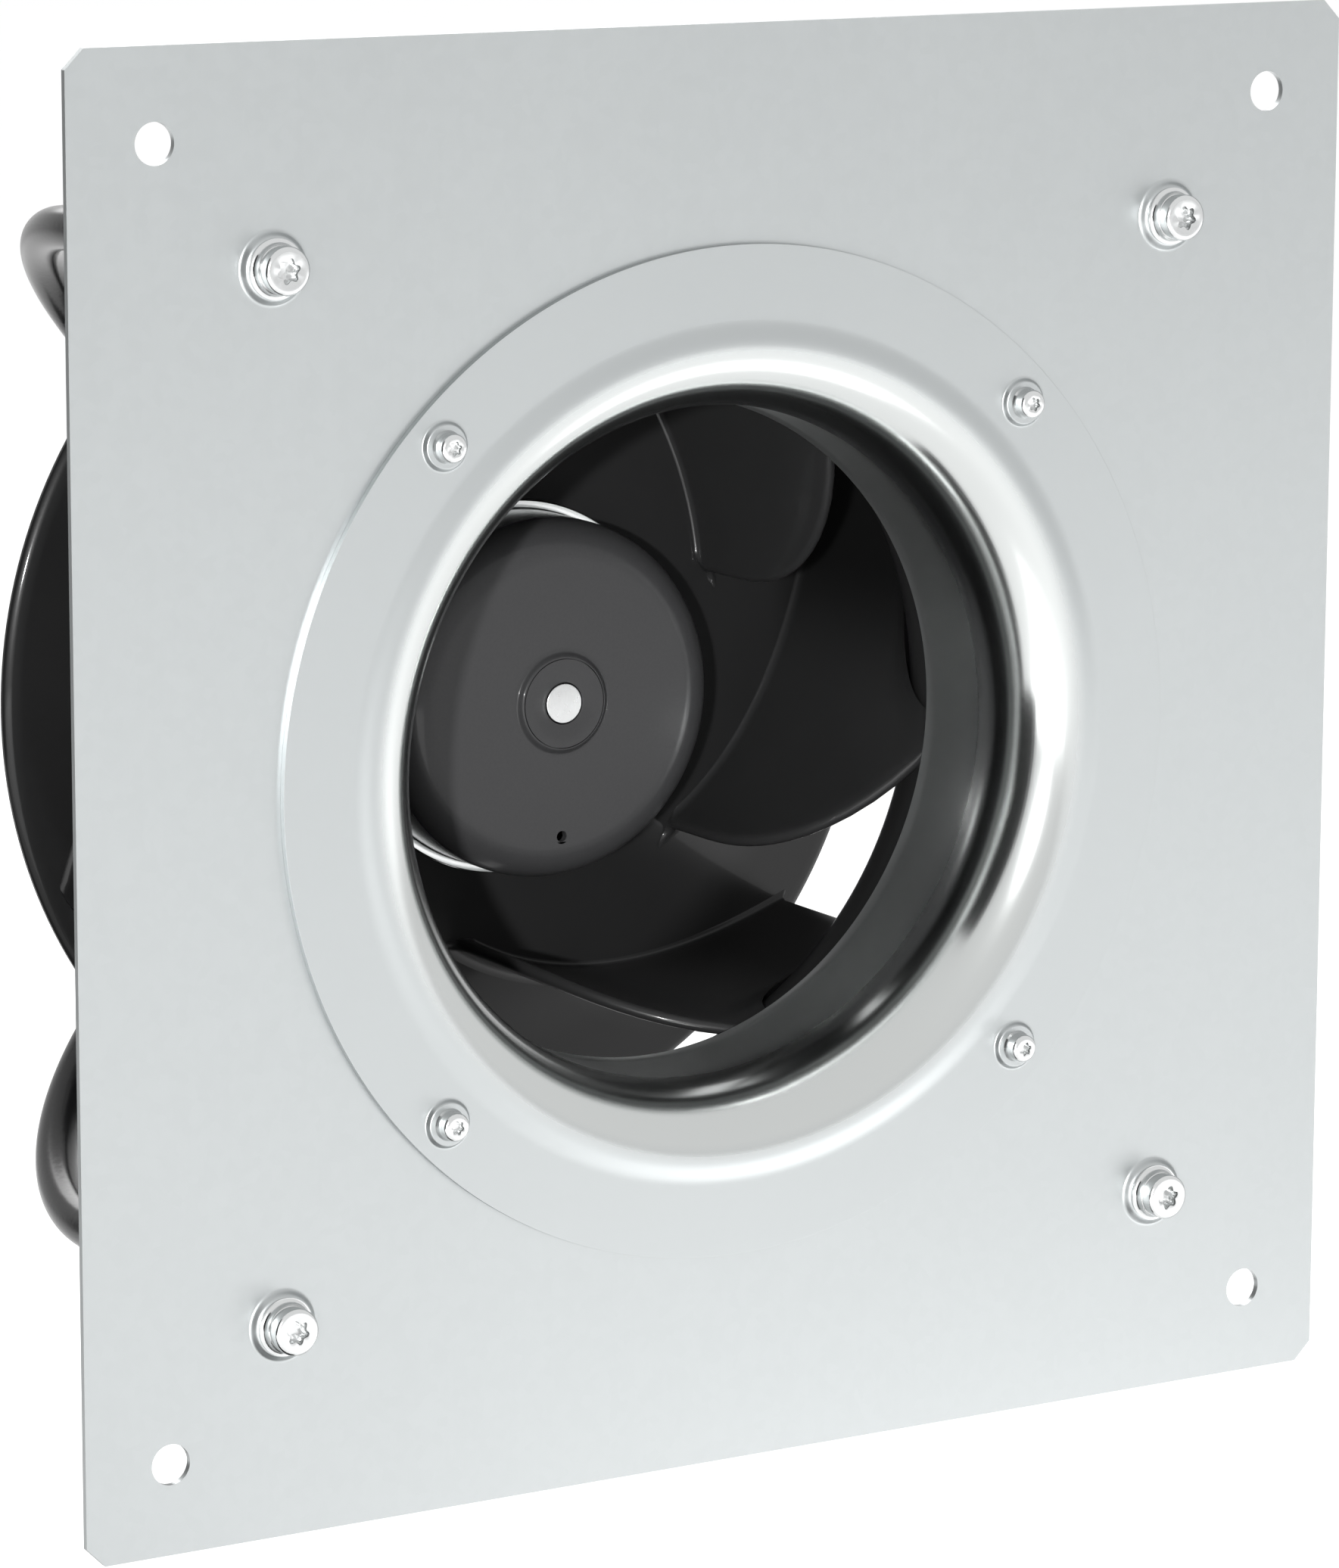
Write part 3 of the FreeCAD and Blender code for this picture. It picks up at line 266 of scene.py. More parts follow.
class Finishes(bpy.types.PropertyGroup):
    zinc: colour("Zinc sheet", "Satin zinc coat of the plate and flange", (0.408, 0.426, 0.429))
    bright: colour("Bright sheet", "Burnished zinc in the nozzle's mouth", (0.53, 0.545, 0.54))
    fastener: colour("Fasteners", "Plated bolts, screws and nuts", (0.62, 0.63, 0.63))
    strut: colour("Struts", "Gloss black coat of the struts", (0.004, 0.004, 0.0042))
    impeller: colour("Impeller", "Black moulding of the impeller", (0.018, 0.018, 0.0183))
    rotor: colour("Rotor", "Dark paint on the rotor's front", (0.032, 0.032, 0.033))
    steel: colour("Steel", "Bare steel", (0.52, 0.525, 0.525))
    casting: colour("Casting", "Die-cast aluminium", (0.60, 0.61, 0.62))
    cover: colour("Cover", "Black moulding of the rear cover", (0.014, 0.014, 0.015))
    floor: colour("Floor", "Pale studio floor", (0.93, 0.93, 0.93))


class StageSettings(bpy.types.PropertyGroup):
    camera_place: FloatVectorProperty(name="Camera", description="Place of the camera",
                                      default=(-0.71161, -1.15690, 0.25324), subtype="TRANSLATION")
    camera_right: FloatVectorProperty(name="Right", description="Direction that is right in the picture",
                                      default=(0.85764, -0.51424, 0.00276), subtype="DIRECTION")
    camera_up: FloatVectorProperty(name="Up", description="Direction that is up in the picture",
                                   default=(0.09422, 0.1624, 0.98222), subtype="DIRECTION")
    lens: FloatProperty(name="Lens", description="Focal length in mm on a 36 mm long side", default=144.63)
    floor_drop: length("Floor drop", "Floor's distance below the plate's lower edge", 0.30)
    floor_size: length("Floor size", "Side of the floor", 60.0)
    sky: FloatProperty(name="Sky", description="Strength of the even light from all sides", default=1.08)
    key: FloatProperty(name="Key", description="Power of the key light beside the camera", default=120.0)


GROUPS = {
    "fan_plate": PlateSizes,
    "fan_nozzle": NozzleSizes,
    "fan_fasteners": FastenerSizes,
    "fan_struts": StrutSizes,
    "fan_impeller": ImpellerSizes,
    "fan_rotor": RotorSizes,
    "fan_housing": HousingSizes,
    "fan_gland": GlandSizes,
    "fan_finishes": Finishes,
    "fan_stage": StageSettings,
}


# Shader maths

class Socket:
    """A shader socket that adds Math nodes when it is used in an expression."""

    def __init__(self, finish, socket):
        self.finish = finish
        self.socket = socket

    def calculate(self, operation, first, second):
        return self.finish.add("ShaderNodeMath", {"operation": operation}, {0: first, 1: second})

    def __add__(self, other):
        return self.calculate("ADD", self, other)

    def __radd__(self, other):
        return self.calculate("ADD", other, self)

    def __sub__(self, other):
        return self.calculate("SUBTRACT", self, other)

    def __rsub__(self, other):
        return self.calculate("SUBTRACT", other, self)

    def __mul__(self, other):
        return self.calculate("MULTIPLY", self, other)

    def __rmul__(self, other):
        return self.calculate("MULTIPLY", other, self)

    def __pow__(self, other):
        return self.calculate("POWER", self, other)

    def step(self, low, high):
        """0 below low, 1 above high, smooth between."""
        settings = {"interpolation_type": "SMOOTHSTEP"}
        return self.finish.add("ShaderNodeMapRange", settings, {0: self, 1: low, 2: high, 3: 0.0, 4: 1.0})


class Finish:
    """A material: one Principled shader and the nodes that vary it over the surface."""

    def __init__(self, name, colour, roughness, metallic=0.0, coat=0.0, coat_roughness=0.1, level=0.5):
        self.material = bpy.data.materials.new(name)
        self.material.use_nodes = True
        self.tree = self.material.node_tree
        self.shader = self.tree.nodes["Principled BSDF"]
        self.colour = tuple(colour) + (1.0,)
        self.set("Base Color", self.colour)
        self.set("Roughness", roughness)
        self.set("Metallic", metallic)
        self.set("Coat Weight", coat)
        self.set("Coat Roughness", coat_roughness)
        self.set("Specular IOR Level", level)
        self.place = self.add("ShaderNodeTexCoord", output="Object")
        self.material.diffuse_color = self.colour

    def add(self, kind, settings=None, sockets=None, output=0):
        """Any node: its settings first, then values or links for its sockets."""
        node = self.tree.nodes.new(kind)
        for key, value in (settings or {}).items():
            setattr(node, key, value)
        for key, value in (sockets or {}).items():
            self.feed(node.inputs[key], value)
        return Socket(self, node.outputs[output])

    def feed(self, socket, value):
        if isinstance(value, Socket):
            self.tree.links.new(value.socket, socket)
        else:
            socket.default_value = value

    def set(self, name, value):
        self.feed(self.shader.inputs[name], value)

    def stretched(self, scale):
        """The object's own coordinates, scaled by different amounts along X, Y and Z."""
        return self.add("ShaderNodeMapping", None, {"Vector": self.place, "Scale": scale})

    def noise(self, scale, detail=2.0, stretch=None):
        place = self.place if stretch is None else self.stretched(stretch)
        return self.add("ShaderNodeTexNoise", None, {"Vector": place, "Scale": scale, "Detail": detail})

    def cells(self, scale, output="Distance"):
        return self.add("ShaderNodeTexVoronoi", None, {"Vector": self.place, "Scale": scale}, output)

    def axis(self, name):
        return self.add("ShaderNodeSeparateXYZ", None, {0: self.place}, name)

    def radius(self):
        """Distance from the fan's axis."""
        across = self.axis("X")
        up = self.axis("Z")
        return (across * across + up * up) ** 0.5

    def shade(self, amount):
        """Multiply the base colour's brightness by a varying amount."""
        grey = self.add("ShaderNodeCombineXYZ", None, {0: amount, 1: amount, 2: amount})
        product = self.add("ShaderNodeVectorMath", {"operation": "MULTIPLY"}, {0: grey, 1: self.colour[:3]})
        self.set("Base Color", product)
        return product

    def blend(self, factor, first, second):
        """Mix of two colours."""
        return self.add("ShaderNodeMix", {"data_type": "RGBA"}, {0: factor, 6: first, 7: second}, 2)

    def bump(self, height, distance):
        self.set("Normal", self.add("ShaderNodeBump", None, {"Distance": distance, "Height": height}))


def zinc_sheet(colours):
    """Satin zinc coat: soft clouds, a faint rolling grain and fine crystals."""
    finish = Finish("zinc_sheet", colours.zinc, 0.34, 1.0)
    cloud = finish.noise(14.0, 4.0)
    grain = finish.noise(700.0, 2.0, (1.0, 1.0, 0.04))
    crystal = finish.cells(420.0, "Color")
    spot = finish.add("ShaderNodeSeparateColor", None, {0: crystal}, 0)
    finish.shade(0.965 + cloud * 0.03 + spot * 0.02 + grain * 0.015)
    finish.set("Roughness", 0.33 + cloud * 0.03 + grain * 0.03 + spot * 0.015)
    finish.bump(grain * 0.6 + spot * 0.4, 0.000004)
    return finish.material


def bright_sheet(colours):
    """Spun sheet: the same zinc, burnished round and round by the spinning tool."""
    finish = Finish("bright_sheet", colours.zinc, 0.2, 1.0)
    radius = finish.radius()
    rings = finish.add("ShaderNodeTexNoise", {"noise_dimensions": "1D"}, {"W": radius, "Scale": 2600.0})
    cloud = finish.noise(16.0, 3.0)
    worked = radius.step(0.092, 0.0865)
    deep = finish.axis("Y").step(0.010, 0.024)
    flange = finish.shade(0.97 + cloud * 0.04)
    mouth = tuple(colours.bright) + (1.0,)
    finish.set("Base Color", finish.blend(worked, flange, mouth))
    finish.set("Roughness", 0.33 - worked * 0.19 + deep * 0.18 + cloud * 0.02 + rings * 0.03)
    finish.bump(rings, 0.000003)
    return finish.material


def bright_steel(colours):
    """Plated fasteners: clear and slightly cloudy."""
    finish = Finish("bright_steel", colours.fastener, 0.16, 1.0)
    cloud = finish.noise(380.0, 3.0)
    finish.shade(0.94 + cloud * 0.07)
    finish.set("Roughness", 0.12 + cloud * 0.1)
    return finish.material


def black_paint(colours):
    """Gloss black powder coat with a faint orange peel."""
    finish = Finish("black_paint", colours.strut, 0.3, level=0.3)
    peel = finish.noise(900.0, 1.0)
    cloud = finish.noise(35.0, 3.0)
    finish.shade(0.9 + cloud * 0.3)
    finish.set("Roughness", 0.2 + cloud * 0.08)
    finish.bump(peel, 0.00002)
    return finish.material


def black_plastic(colours):
    """Moulded black plastic: satin, with faint flow marks, a fine texture and painted shade that darkens it
    beyond the eye.
    """
    finish = Finish("black_plastic", colours.impeller, 0.32, coat=0.16, coat_roughness=0.09, level=0.1)
    flow = finish.noise(26.0, 4.0)
    grit = finish.noise(2400.0, 2.0)
    # Painted shade: the colour darkens with distance from the axis beyond the eye, so the shroud's outside
    # and the disc's rim look shaded
    outer = finish.radius().step(0.080, 0.098)
    finish.shade((0.85 + flow * 0.35) * (1.0 - outer * 0.68))
    finish.set("Roughness", 0.28 + flow * 0.08 + grit * 0.04)
    finish.bump(grit, 0.00001)
    return finish.material


def rotor_paint(colours, rotor):
    """Dark paint over the bell's front; behind a clean edge the side wall is bare drawn steel."""
    finish = Finish("rotor_paint", colours.rotor, 0.5, coat=0.14, coat_roughness=0.1, level=0.1)
    station = finish.axis("Y")
    bare = station.step(rotor.paint_end - 0.00015, rotor.paint_end + 0.00015)
    grit = finish.noise(1500.0, 3.0)
    drawn = finish.noise(500.0, 2.0, (1.0, 0.05, 1.0))
    paint = finish.shade(0.9 + grit * 0.2)
    steel = tuple(colours.steel) + (1.0,)
    finish.set("Base Color", finish.blend(bare, paint, steel))
    finish.set("Metallic", bare)
    finish.set("Roughness", 0.3 + grit * 0.06 - bare * 0.14 + drawn * bare * 0.08)
    finish.bump(grit * (1.0 - bare), 0.000012)
    return finish.material


def ground_steel(colours):
    """Ground steel with fine lathe rings."""
    finish = Finish("ground_steel", colours.steel, 0.28, 1.0)
    ring = finish.noise(1800.0, 2.0, (1.0, 1.0, 0.4))
    finish.shade(0.93 + ring * 0.1)
    finish.set("Roughness", 0.24 + ring * 0.1)
    return finish.material


def cast_aluminium(colours):
    """Die-cast skin: pale, dull and finely pitted."""
    finish = Finish("cast_aluminium", colours.casting, 0.46, 1.0)
    cloud = finish.noise(40.0, 5.0)
    pits = finish.noise(1300.0, 3.0)
    finish.shade(0.82 + cloud * 0.2 + pits * 0.08)
    finish.set("Roughness", 0.38 + cloud * 0.12 + pits * 0.08)
    finish.bump(pits + cloud * 0.5, 0.00003)
    return finish.material


def cover_plastic(colours):
    """Spark-eroded texture on black glass-filled plastic."""
    finish = Finish("cover_plastic", colours.cover, 0.55, level=0.45)
    texture = finish.noise(2600.0, 3.0)
    cloud = finish.noise(30.0, 3.0)
    finish.shade(0.85 + cloud * 0.3)
    finish.set("Roughness", 0.5 + texture * 0.12)
    finish.bump(texture, 0.00004)
    return finish.material


def plain(name, colour, roughness, metallic=0.0, scale=900.0, depth=0.00001):
    """Finish of an inner piece: its colour, a slight mottle and a fine texture."""
    finish = Finish(name, colour, roughness, metallic)
    mottle = finish.noise(scale, 3.0)
    finish.shade(0.88 + mottle * 0.24)
    finish.set("Roughness", roughness - 0.05 + mottle * 0.1)
    finish.bump(mottle, depth)
    return finish.material


def striped(name, colour, roughness, metallic, pitch, stretch, depth):
    """Finish made of fine layers, such as stacked sheets or wound wire."""
    finish = Finish(name, colour, roughness, metallic)
    place = finish.stretched(stretch)
    layers = finish.add("ShaderNodeTexWave", None, {"Vector": place, "Scale": 0.5 / pitch})
    finish.shade(0.7 + layers * 0.4)
    finish.bump(layers, depth)
    return finish.material


def make_finishes():
    """All materials of the fan, by the record's slot names."""
    scene = bpy.context.scene
    colours = scene.fan_finishes
    return {
        "zinc_sheet": zinc_sheet(colours),
        "bright_sheet": bright_sheet(colours),
        "bright_steel": bright_steel(colours),
        "black_paint": black_paint(colours),
        "black_plastic": black_plastic(colours),
        "rotor_paint": rotor_paint(colours, scene.fan_rotor),
        "ground_steel": ground_steel(colours),
        "cast_aluminium": cast_aluminium(colours),
        "cover_plastic": cover_plastic(colours),
        "magnet": plain("magnet", (0.07, 0.07, 0.075), 0.6, depth=0.00003),
        "lamination": striped("lamination", (0.30, 0.30, 0.32), 0.4, 1.0, 0.0005, (0.0, 1.0, 0.0), 0.00005),
        "copper": striped("copper", (0.62, 0.25, 0.11), 0.3, 1.0, 0.0006, (1.0, 1.0, 0.0), 0.0001),
        "gasket_rubber": plain("gasket_rubber", (0.02, 0.02, 0.02), 0.8, depth=0.00004),
        "board": plain("board", (0.02, 0.10, 0.05), 0.35, scale=300.0),
        "brass": plain("brass", (0.66, 0.46, 0.18), 0.3, 1.0),
        "component_plastic": plain("component_plastic", (0.03, 0.03, 0.04), 0.4),
        "gland_plastic": plain("gland_plastic", (0.018, 0.018, 0.019), 0.48, depth=0.00002),
    }


# Materials by slot name, filled at the first call
FINISHES = {}


def finish_of(slot_name):
    if not FINISHES:
        FINISHES.update(make_finishes())
    return FINISHES[slot_name]


# Meshes

def at(radius, station, turn=0.0):
    """Point at a radius and station, turned by radians from +X towards +Z."""
    return Vector((radius * math.cos(turn), station, radius * math.sin(turn)))


def loop_of(reach, station, count, x=0.0, z=0.0):
    """Ring of points round an axis parallel to the fan's; reach gives the radius in a direction."""
    middle = Vector((x, 0.0, z))
    turns = [math.tau * i / count for i in range(count)]
    return [middle + at(reach(turn), station, turn) for turn in turns]


def circle(radius, station, count, x=0.0, z=0.0):
    return loop_of(lambda turn: radius, station, count, x, z)


def quarter(steps, first=0):
    """Sine and cosine of evenly spaced turns up to a quarter turn."""
    turns = [math.pi / 2 * step / steps for step in range(first, steps + 1)]
    return [(math.sin(turn), math.cos(turn)) for turn in turns]


def rounded(corners, steps=6):
    """Outline through (radius, station, fillet) corners, each rounded by its own fillet."""
    outline = []
    for i, (radius, station, fillet) in enumerate(corners):
        here = Vector((radius, station))
        if fillet == 0.0:
            outline.append(here)
            continue
        before = (Vector(corners[i - 1][:2]) - here).normalized()
        after = (Vector(corners[(i + 1) % len(corners)][:2]) - here).normalized()
        half = before.angle(after) / 2
        pivot = here + (before + after).normalized() * (fillet / math.sin(half))
        start = here + before * (fillet / math.tan(half)) - pivot
        end = here + after * (fillet / math.tan(half)) - pivot
        first = math.atan2(start.y, start.x)
        sweep = math.remainder(math.atan2(end.y, end.x) - first, math.tau)
        for step in range(steps + 1):
            turn = first + sweep * step / steps
            outline.append(pivot + Vector((math.cos(turn), math.sin(turn))) * fillet)
    return outline


class Shape:
    """Points and faces of one piece, gathered ring by ring."""

    def __init__(self):
        self.points = []
        self.faces = []

    def ring(self, points):
        first = len(self.points)
        self.points.extend(points)
        return list(range(first, len(self.points)))

    def skin(self, rings, loop=False):
        """Faces from each ring to the next; a loop joins the last ring to the first."""
        rows = [self.ring(points) for points in rings]
        pairs = list(zip(rows, rows[1:]))
        if loop:
            pairs.append((rows[-1], rows[0]))
        for first, second in pairs:
            count = len(first)
            for i in range(count):
                j = (i + 1) % count
                self.faces.append((first[i], first[j], second[j], second[i]))
        return rows

    def cap(self, row):
        self.faces.append(tuple(row))

    def solid(self, rings):
        """Rings with a face over each end."""
        rows = self.skin(rings)
        self.cap(rows[0])
        self.cap(rows[-1])

    def cap_across(self, row, middle):
        """Narrow faces across a long curved outline, from its point at middle to the opposite one."""
        count = len(row)
        for step in range(count // 2):
            corners = [middle - step, middle + step, middle + step + 1, middle - step - 1]
            self.faces.append(tuple(dict.fromkeys(row[i % count] for i in corners)))

    def fill(self, rows):
        """Flat faces between closed rows: an outline and the holes in it."""
        flat = bmesh.new()
        corner = {i: flat.verts.new(self.points[i]) for row in rows for i in row}
        number = {vert: i for i, vert in corner.items()}
        pairs = [pair for row in rows for pair in zip(row, row[1:] + row[:1])]
        edges = [flat.edges.new((corner[a], corner[b])) for a, b in pairs]
        made = bmesh.ops.triangle_fill(flat, use_beauty=True, edges=edges)
        for item in made["geom"]:
            if isinstance(item, bmesh.types.BMFace):
                self.faces.append(tuple(number[vert] for vert in item.verts))
        flat.free()

    def turned(self, outline, count, loop=True):
        """Surface of revolution about the fan's axis."""
        return self.skin([circle(point[0], point[1], count) for point in outline], loop=loop)

    def add(self, other, matrix):
        """Take in another shape, moved by a matrix."""
        first = len(self.points)
        self.points.extend(matrix @ point for point in other.points)
        self.faces.extend(tuple(first + i for i in face) for face in other.faces)

    def moved(self, matrix):
        copy = Shape()
        copy.add(self, matrix)
        return copy


def make_object(name, shape, slot_name, sharp=32.0, facing=None):
    """Object at the origin from a shape: doubles merged, faces outwards, smooth below an angle."""
    mesh = bpy.data.meshes.new(name)
    work = bmesh.new()
    verts = [work.verts.new(point) for point in shape.points]
    for face in shape.faces:
        if len(set(face)) > 2:
            work.faces.new([verts[i] for i in face])
    bmesh.ops.remove_doubles(work, verts=work.verts, dist=1e-6)
    bmesh.ops.dissolve_degenerate(work, edges=work.edges, dist=1e-7)
    bmesh.ops.recalc_face_normals(work, faces=work.faces)
    if facing is not None:
        total = sum((face.normal * face.calc_area() for face in work.faces), Vector())
        if total.dot(facing) < 0:
            bmesh.ops.reverse_faces(work, faces=work.faces)
    work.to_mesh(mesh)
    work.free()
    mesh.shade_smooth()
    mesh.set_sharp_from_angle(angle=math.radians(sharp))
    mesh.materials.append(finish_of(slot_name))
    piece = bpy.data.objects.new(name, mesh)
    bpy.context.scene.collection.objects.link(piece)
    return piece


def settle(piece):
    """Put the result of a piece's modifiers into its mesh."""
    graph = bpy.context.evaluated_depsgraph_get()
    made = bpy.data.meshes.new_from_object(piece.evaluated_get(graph), preserve_all_data_layers=True,
                                           depsgraph=graph)
    piece.modifiers.clear()
    spare = piece.data
    piece.data = made
    bpy.data.meshes.remove(spare)
    made.name = piece.name


def sheet_metal(piece, thickness, edge):
    """Give a single surface the thickness of its sheet behind it, break its edges, keep flat faces flat."""
    wall = piece.modifiers.new("Sheet", "SOLIDIFY")
    wall.thickness = thickness
    wall.offset = -1.0
    wall.use_even_offset = True
    bevel = piece.modifiers.new("Edges", "BEVEL")
    bevel.width = edge
    bevel.segments = 3
    bevel.limit_method = "ANGLE"
    bevel.angle_limit = math.radians(40.0)
    bevel.use_clamp_overlap = True
    bevel.harden_normals = False
    weights = piece.modifiers.new("Normals", "WEIGHTED_NORMAL")
    weights.keep_sharp = True
    weights.weight = 80
    settle(piece)


def copies_tree():
    """Node tree that turns copies of a mesh about the fan's axis, evenly spaced."""
    name = "Copies round the axis"
    if name in bpy.data.node_groups:
        return bpy.data.node_groups[name]
    tree = bpy.data.node_groups.new(name, "GeometryNodeTree")
    for label, kind in (("Geometry", "Geometry"), ("Copies", "Int"), ("First angle", "Float"),
                        ("Step", "Float"), ("Finish", "Material")):
        tree.interface.new_socket(name=label, in_out="INPUT", socket_type="NodeSocket" + kind)
    tree.interface.new_socket(name="Geometry", in_out="OUTPUT", socket_type="NodeSocketGeometry")
    start, points, index, turned, back, rotation, place, real, paint, end = [
        tree.nodes.new(kind) for kind in (
            "NodeGroupInput", "GeometryNodeMeshLine", "GeometryNodeInputIndex", "ShaderNodeMath",
            "ShaderNodeMath", "ShaderNodeCombineXYZ", "GeometryNodeInstanceOnPoints",
            "GeometryNodeRealizeInstances", "GeometryNodeSetMaterial", "NodeGroupOutput")]
    points.inputs["Offset"].default_value = (0.0, 0.0, 0.0)
    turned.operation = "MULTIPLY_ADD"
    back.operation = "MULTIPLY"
    back.inputs[1].default_value = -1.0
    for source, output, target, entry in (
            (start, "Copies", points, "Count"), (index, 0, turned, 0), (start, "Step", turned, 1),
            (start, "First angle", turned, 2), (turned, 0, back, 0), (back, 0, rotation, "Y"),
            (points, 0, place, "Points"), (start, "Geometry", place, "Instance"),
            (rotation, 0, place, "Rotation"), (place, 0, real, 0), (real, 0, paint, "Geometry"),
            (start, "Finish", paint, "Material"), (paint, 0, end, 0)):
        tree.links.new(source.outputs[output], target.inputs[entry])
    return tree


def repeat(piece, copies, first_degrees, slot_name, step_degrees=None):
    """Turn copies of a piece about the fan's axis, all in the piece's own mesh."""
    tree = copies_tree()
    wanted = {
        "Copies": copies,
        "First angle": math.radians(first_degrees),
        "Step": math.radians(step_degrees or 360.0 / copies),
        "Finish": finish_of(slot_name),
    }
    modifier = piece.modifiers.new("Copies", "NODES")
    modifier.node_group = tree
    for item in tree.interface.items_tree:
        if item.in_out == "INPUT" and item.name in wanted:
            modifier[item.identifier] = wanted[item.name]
    settle(piece)


def keep(piece, body, node):
    """Let a piece ride on its body, with its finish, in place of a CAD node."""
    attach(piece, body)
    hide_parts(node)


def build(name, shape, slot_name, body, node, copies=1, first=QUARTERS[0], step=None, sharp=32.0):
    """A shape as an object, turned into its copies, on its body and in place of its node."""
    piece = make_object(name, shape, slot_name, sharp)
    if copies > 1:
        repeat(piece, copies, first, slot_name, step)
    keep(piece, body, node)


# Sheet metal with pressed bosses

def swell(foot, top, height, steps=10):
    """Soft rise of a pressed boss: (radius, share of height) from its foot to its flat top."""
    rise = []
    for step in range(steps + 1):
        part = step / steps
        rise.append((foot + (top - foot) * part, height * (0.5 - 0.5 * math.cos(math.pi * part))))
    return rise


def pressed_boss(shape, foot, top, height, hole, station, x, z, count=SMALL_ROUND):
    """Rings of a boss that stands forward of a flat sheet; gives back its outermost ring."""
    levels = [(foot + 0.0004, 0.0)] + swell(foot, top, height) + [(hole + 0.0003, height), (hole, height)]
    return shape.skin([circle(radius, station - rise, count, x, z) for radius, rise in levels])[0]


def square_places(spacing):
    half = spacing / 2
    return [(half, half), (-half, half), (-half, -half), (half, -half)]


class FAN_OT_mounting_plate(bpy.types.Operator):
    """Square plate with cut corners, mounting holes and pressed bosses"""
    bl_idname = "fan.mounting_plate"
    bl_label = "Mounting plate"

    def execute(self, context):
        size = context.scene.fan_plate
        fasteners = context.scene.fan_fasteners
        half = size.side / 2
        cut = size.corner_cut
        shape = Shape()
        outline = []
        for side in range(4):
            turn = Matrix.Rotation(-math.pi / 2 * side, 4, "Y")
            outline += [turn @ Vector((half, 0.0, half - cut)), turn @ Vector((half - cut, 0.0, half))]
        rows = [shape.ring(outline), shape.ring(circle(size.mouth_radius, 0.0, ROTOR_ROUND))]
        screw_hole = fasteners.nozzle_thread / 2 + 0.0002
        for spacing, radius, count in ((size.hole_spacing, size.hole_diameter / 2, SMALL_ROUND),
                                       (fasteners.nozzle_spacing, screw_hole, 24)):
            rows += [shape.ring(circle(radius, 0.0, count, x, z)) for x, z in square_places(spacing)]
        bolt_hole = 0.0033
        for x, z in square_places(fasteners.strut_circle * math.sqrt(2)):
            rows.append(pressed_boss(shape, size.boss_diameter / 2, size.boss_top / 2, size.boss_height,
                                     bolt_hole, 0.0, x, z))
        shape.fill(rows)
        plate = make_object("plate_sheet", shape, "zinc_sheet", facing=OUTWARDS)
        sheet_metal(plate, size.thickness, 0.00018)
        keep(plate, "frame", "mounting_plate")
        return {"FINISHED"}


class FAN_OT_inlet_nozzle(bpy.types.Operator):
    """Spun nozzle: flat flange with screw bosses, rounded mouth and slightly tapered throat"""
    bl_idname = "fan.inlet_nozzle"
    bl_label = "Inlet nozzle"

    def execute(self, context):
        size = context.scene.fan_nozzle
        front = -size.sheet
        shape = Shape()
        wide = size.mouth_radius - size.throat_radius
        throat_start = front - size.rim_rise + size.mouth_depth
        rise = swell(size.rim_radius, size.mouth_radius, size.rim_rise, 12)
        flow = [(size.rim_radius + 0.001, front)] + [(radius, front - height) for radius, height in rise[:-1]]
        flow += [(size.mouth_radius - wide * sine, throat_start - size.mouth_depth * cosine)
                 for sine, cosine in quarter(56)]
        throat_steps = 36
        bead_start = 0.86
        for step in range(1, throat_steps + 1):
            part = step / throat_steps
            rolled = max(0.0, (part - bead_start) / (1 - bead_start))
            radius = size.throat_radius + (size.exit_radius - size.throat_radius) * part
            flow.append((radius - size.bead * rolled ** 2,
                         throat_start + (size.exit_station - throat_start) * part))
        mouth = shape.turned(flow, NOZZLE_ROUND, loop=False)
        rim = [(size.flange_radius, front), (size.flange_radius - 0.0008, front)]
        rim = shape.turned(rim, NOZZLE_ROUND, loop=False)
        rows = [rim[-1], mouth[0]]
        screw_hole = 0.0022
        for x, z in square_places(context.scene.fan_fasteners.nozzle_spacing):
            rows.append(pressed_boss(shape, size.boss_diameter / 2, size.boss_top / 2, size.boss_height,
                                     screw_hole, front, x, z, 48))
        shape.fill(rows)
        nozzle = make_object("nozzle_spun_sheet", shape, "bright_sheet", facing=OUTWARDS)
        sheet_metal(nozzle, size.sheet, 0.0002)
        keep(nozzle, "frame", "inlet_nozzle")
        return {"FINISHED"}


# Fasteners

def lobes(reach, station, count, x):
    """Outline of a six-lobed socket."""
    return loop_of(lambda turn: reach * (0.86 + 0.14 * math.cos(6 * turn)), station, count, x)


def screw_head(shape, radius, seat, facing, profile, socket, socket_depth, count=72):
    """Head at a radius from the fan's axis: (radius, height) levels up to its face, then the socket."""
    top = profile[-1][1]
    rings = [circle(r, seat + facing * h, count, radius) for r, h in profile]
    for reach, height in ((socket + 0.0003, top), (socket, top - 0.00005), (socket - 0.00015, top - 0.0003),
                          (socket - 0.0002, top - socket_depth), (socket * 0.5, top - socket_depth * 1.05)):
        rings.append(lobes(reach, seat + facing * height, count, radius))
    shape.solid(rings)


def threaded_end(shape, radius, start, end, core, depth, pitch):
    """Helical thread along a screw's end, and its chamfered point."""
    steps_per_turn = 8
    steps = max(2, round(abs(end - start) / pitch * steps_per_turn))
    rings = []
    for step in range(steps + 1):
        station = start + (end - start) * step / steps
        fade = min(1.0, (steps - step) / 10)

        def reach(turn):
            phase = (abs(station - start) / pitch + turn / math.tau) % 1.0
            ridge = 1.0 - abs(2.0 * phase - 1.0)
            return core - depth * (1.0 - ridge * fade)

        rings.append(loop_of(reach, station, 36, radius))
    shape.solid(rings)


def hexagon(width, limit, station, count, x=0.0, pull=0.0):
    """Ring round a hexagon with a corner at 0: corners cut back to a limit, then all of it by pull."""
    def reach(turn):
        sector = math.remainder(turn - math.pi / 6, math.pi / 3)
        return min(width / 2 / math.cos(sector), limit) - pull

    return loop_of(reach, station, count, x)


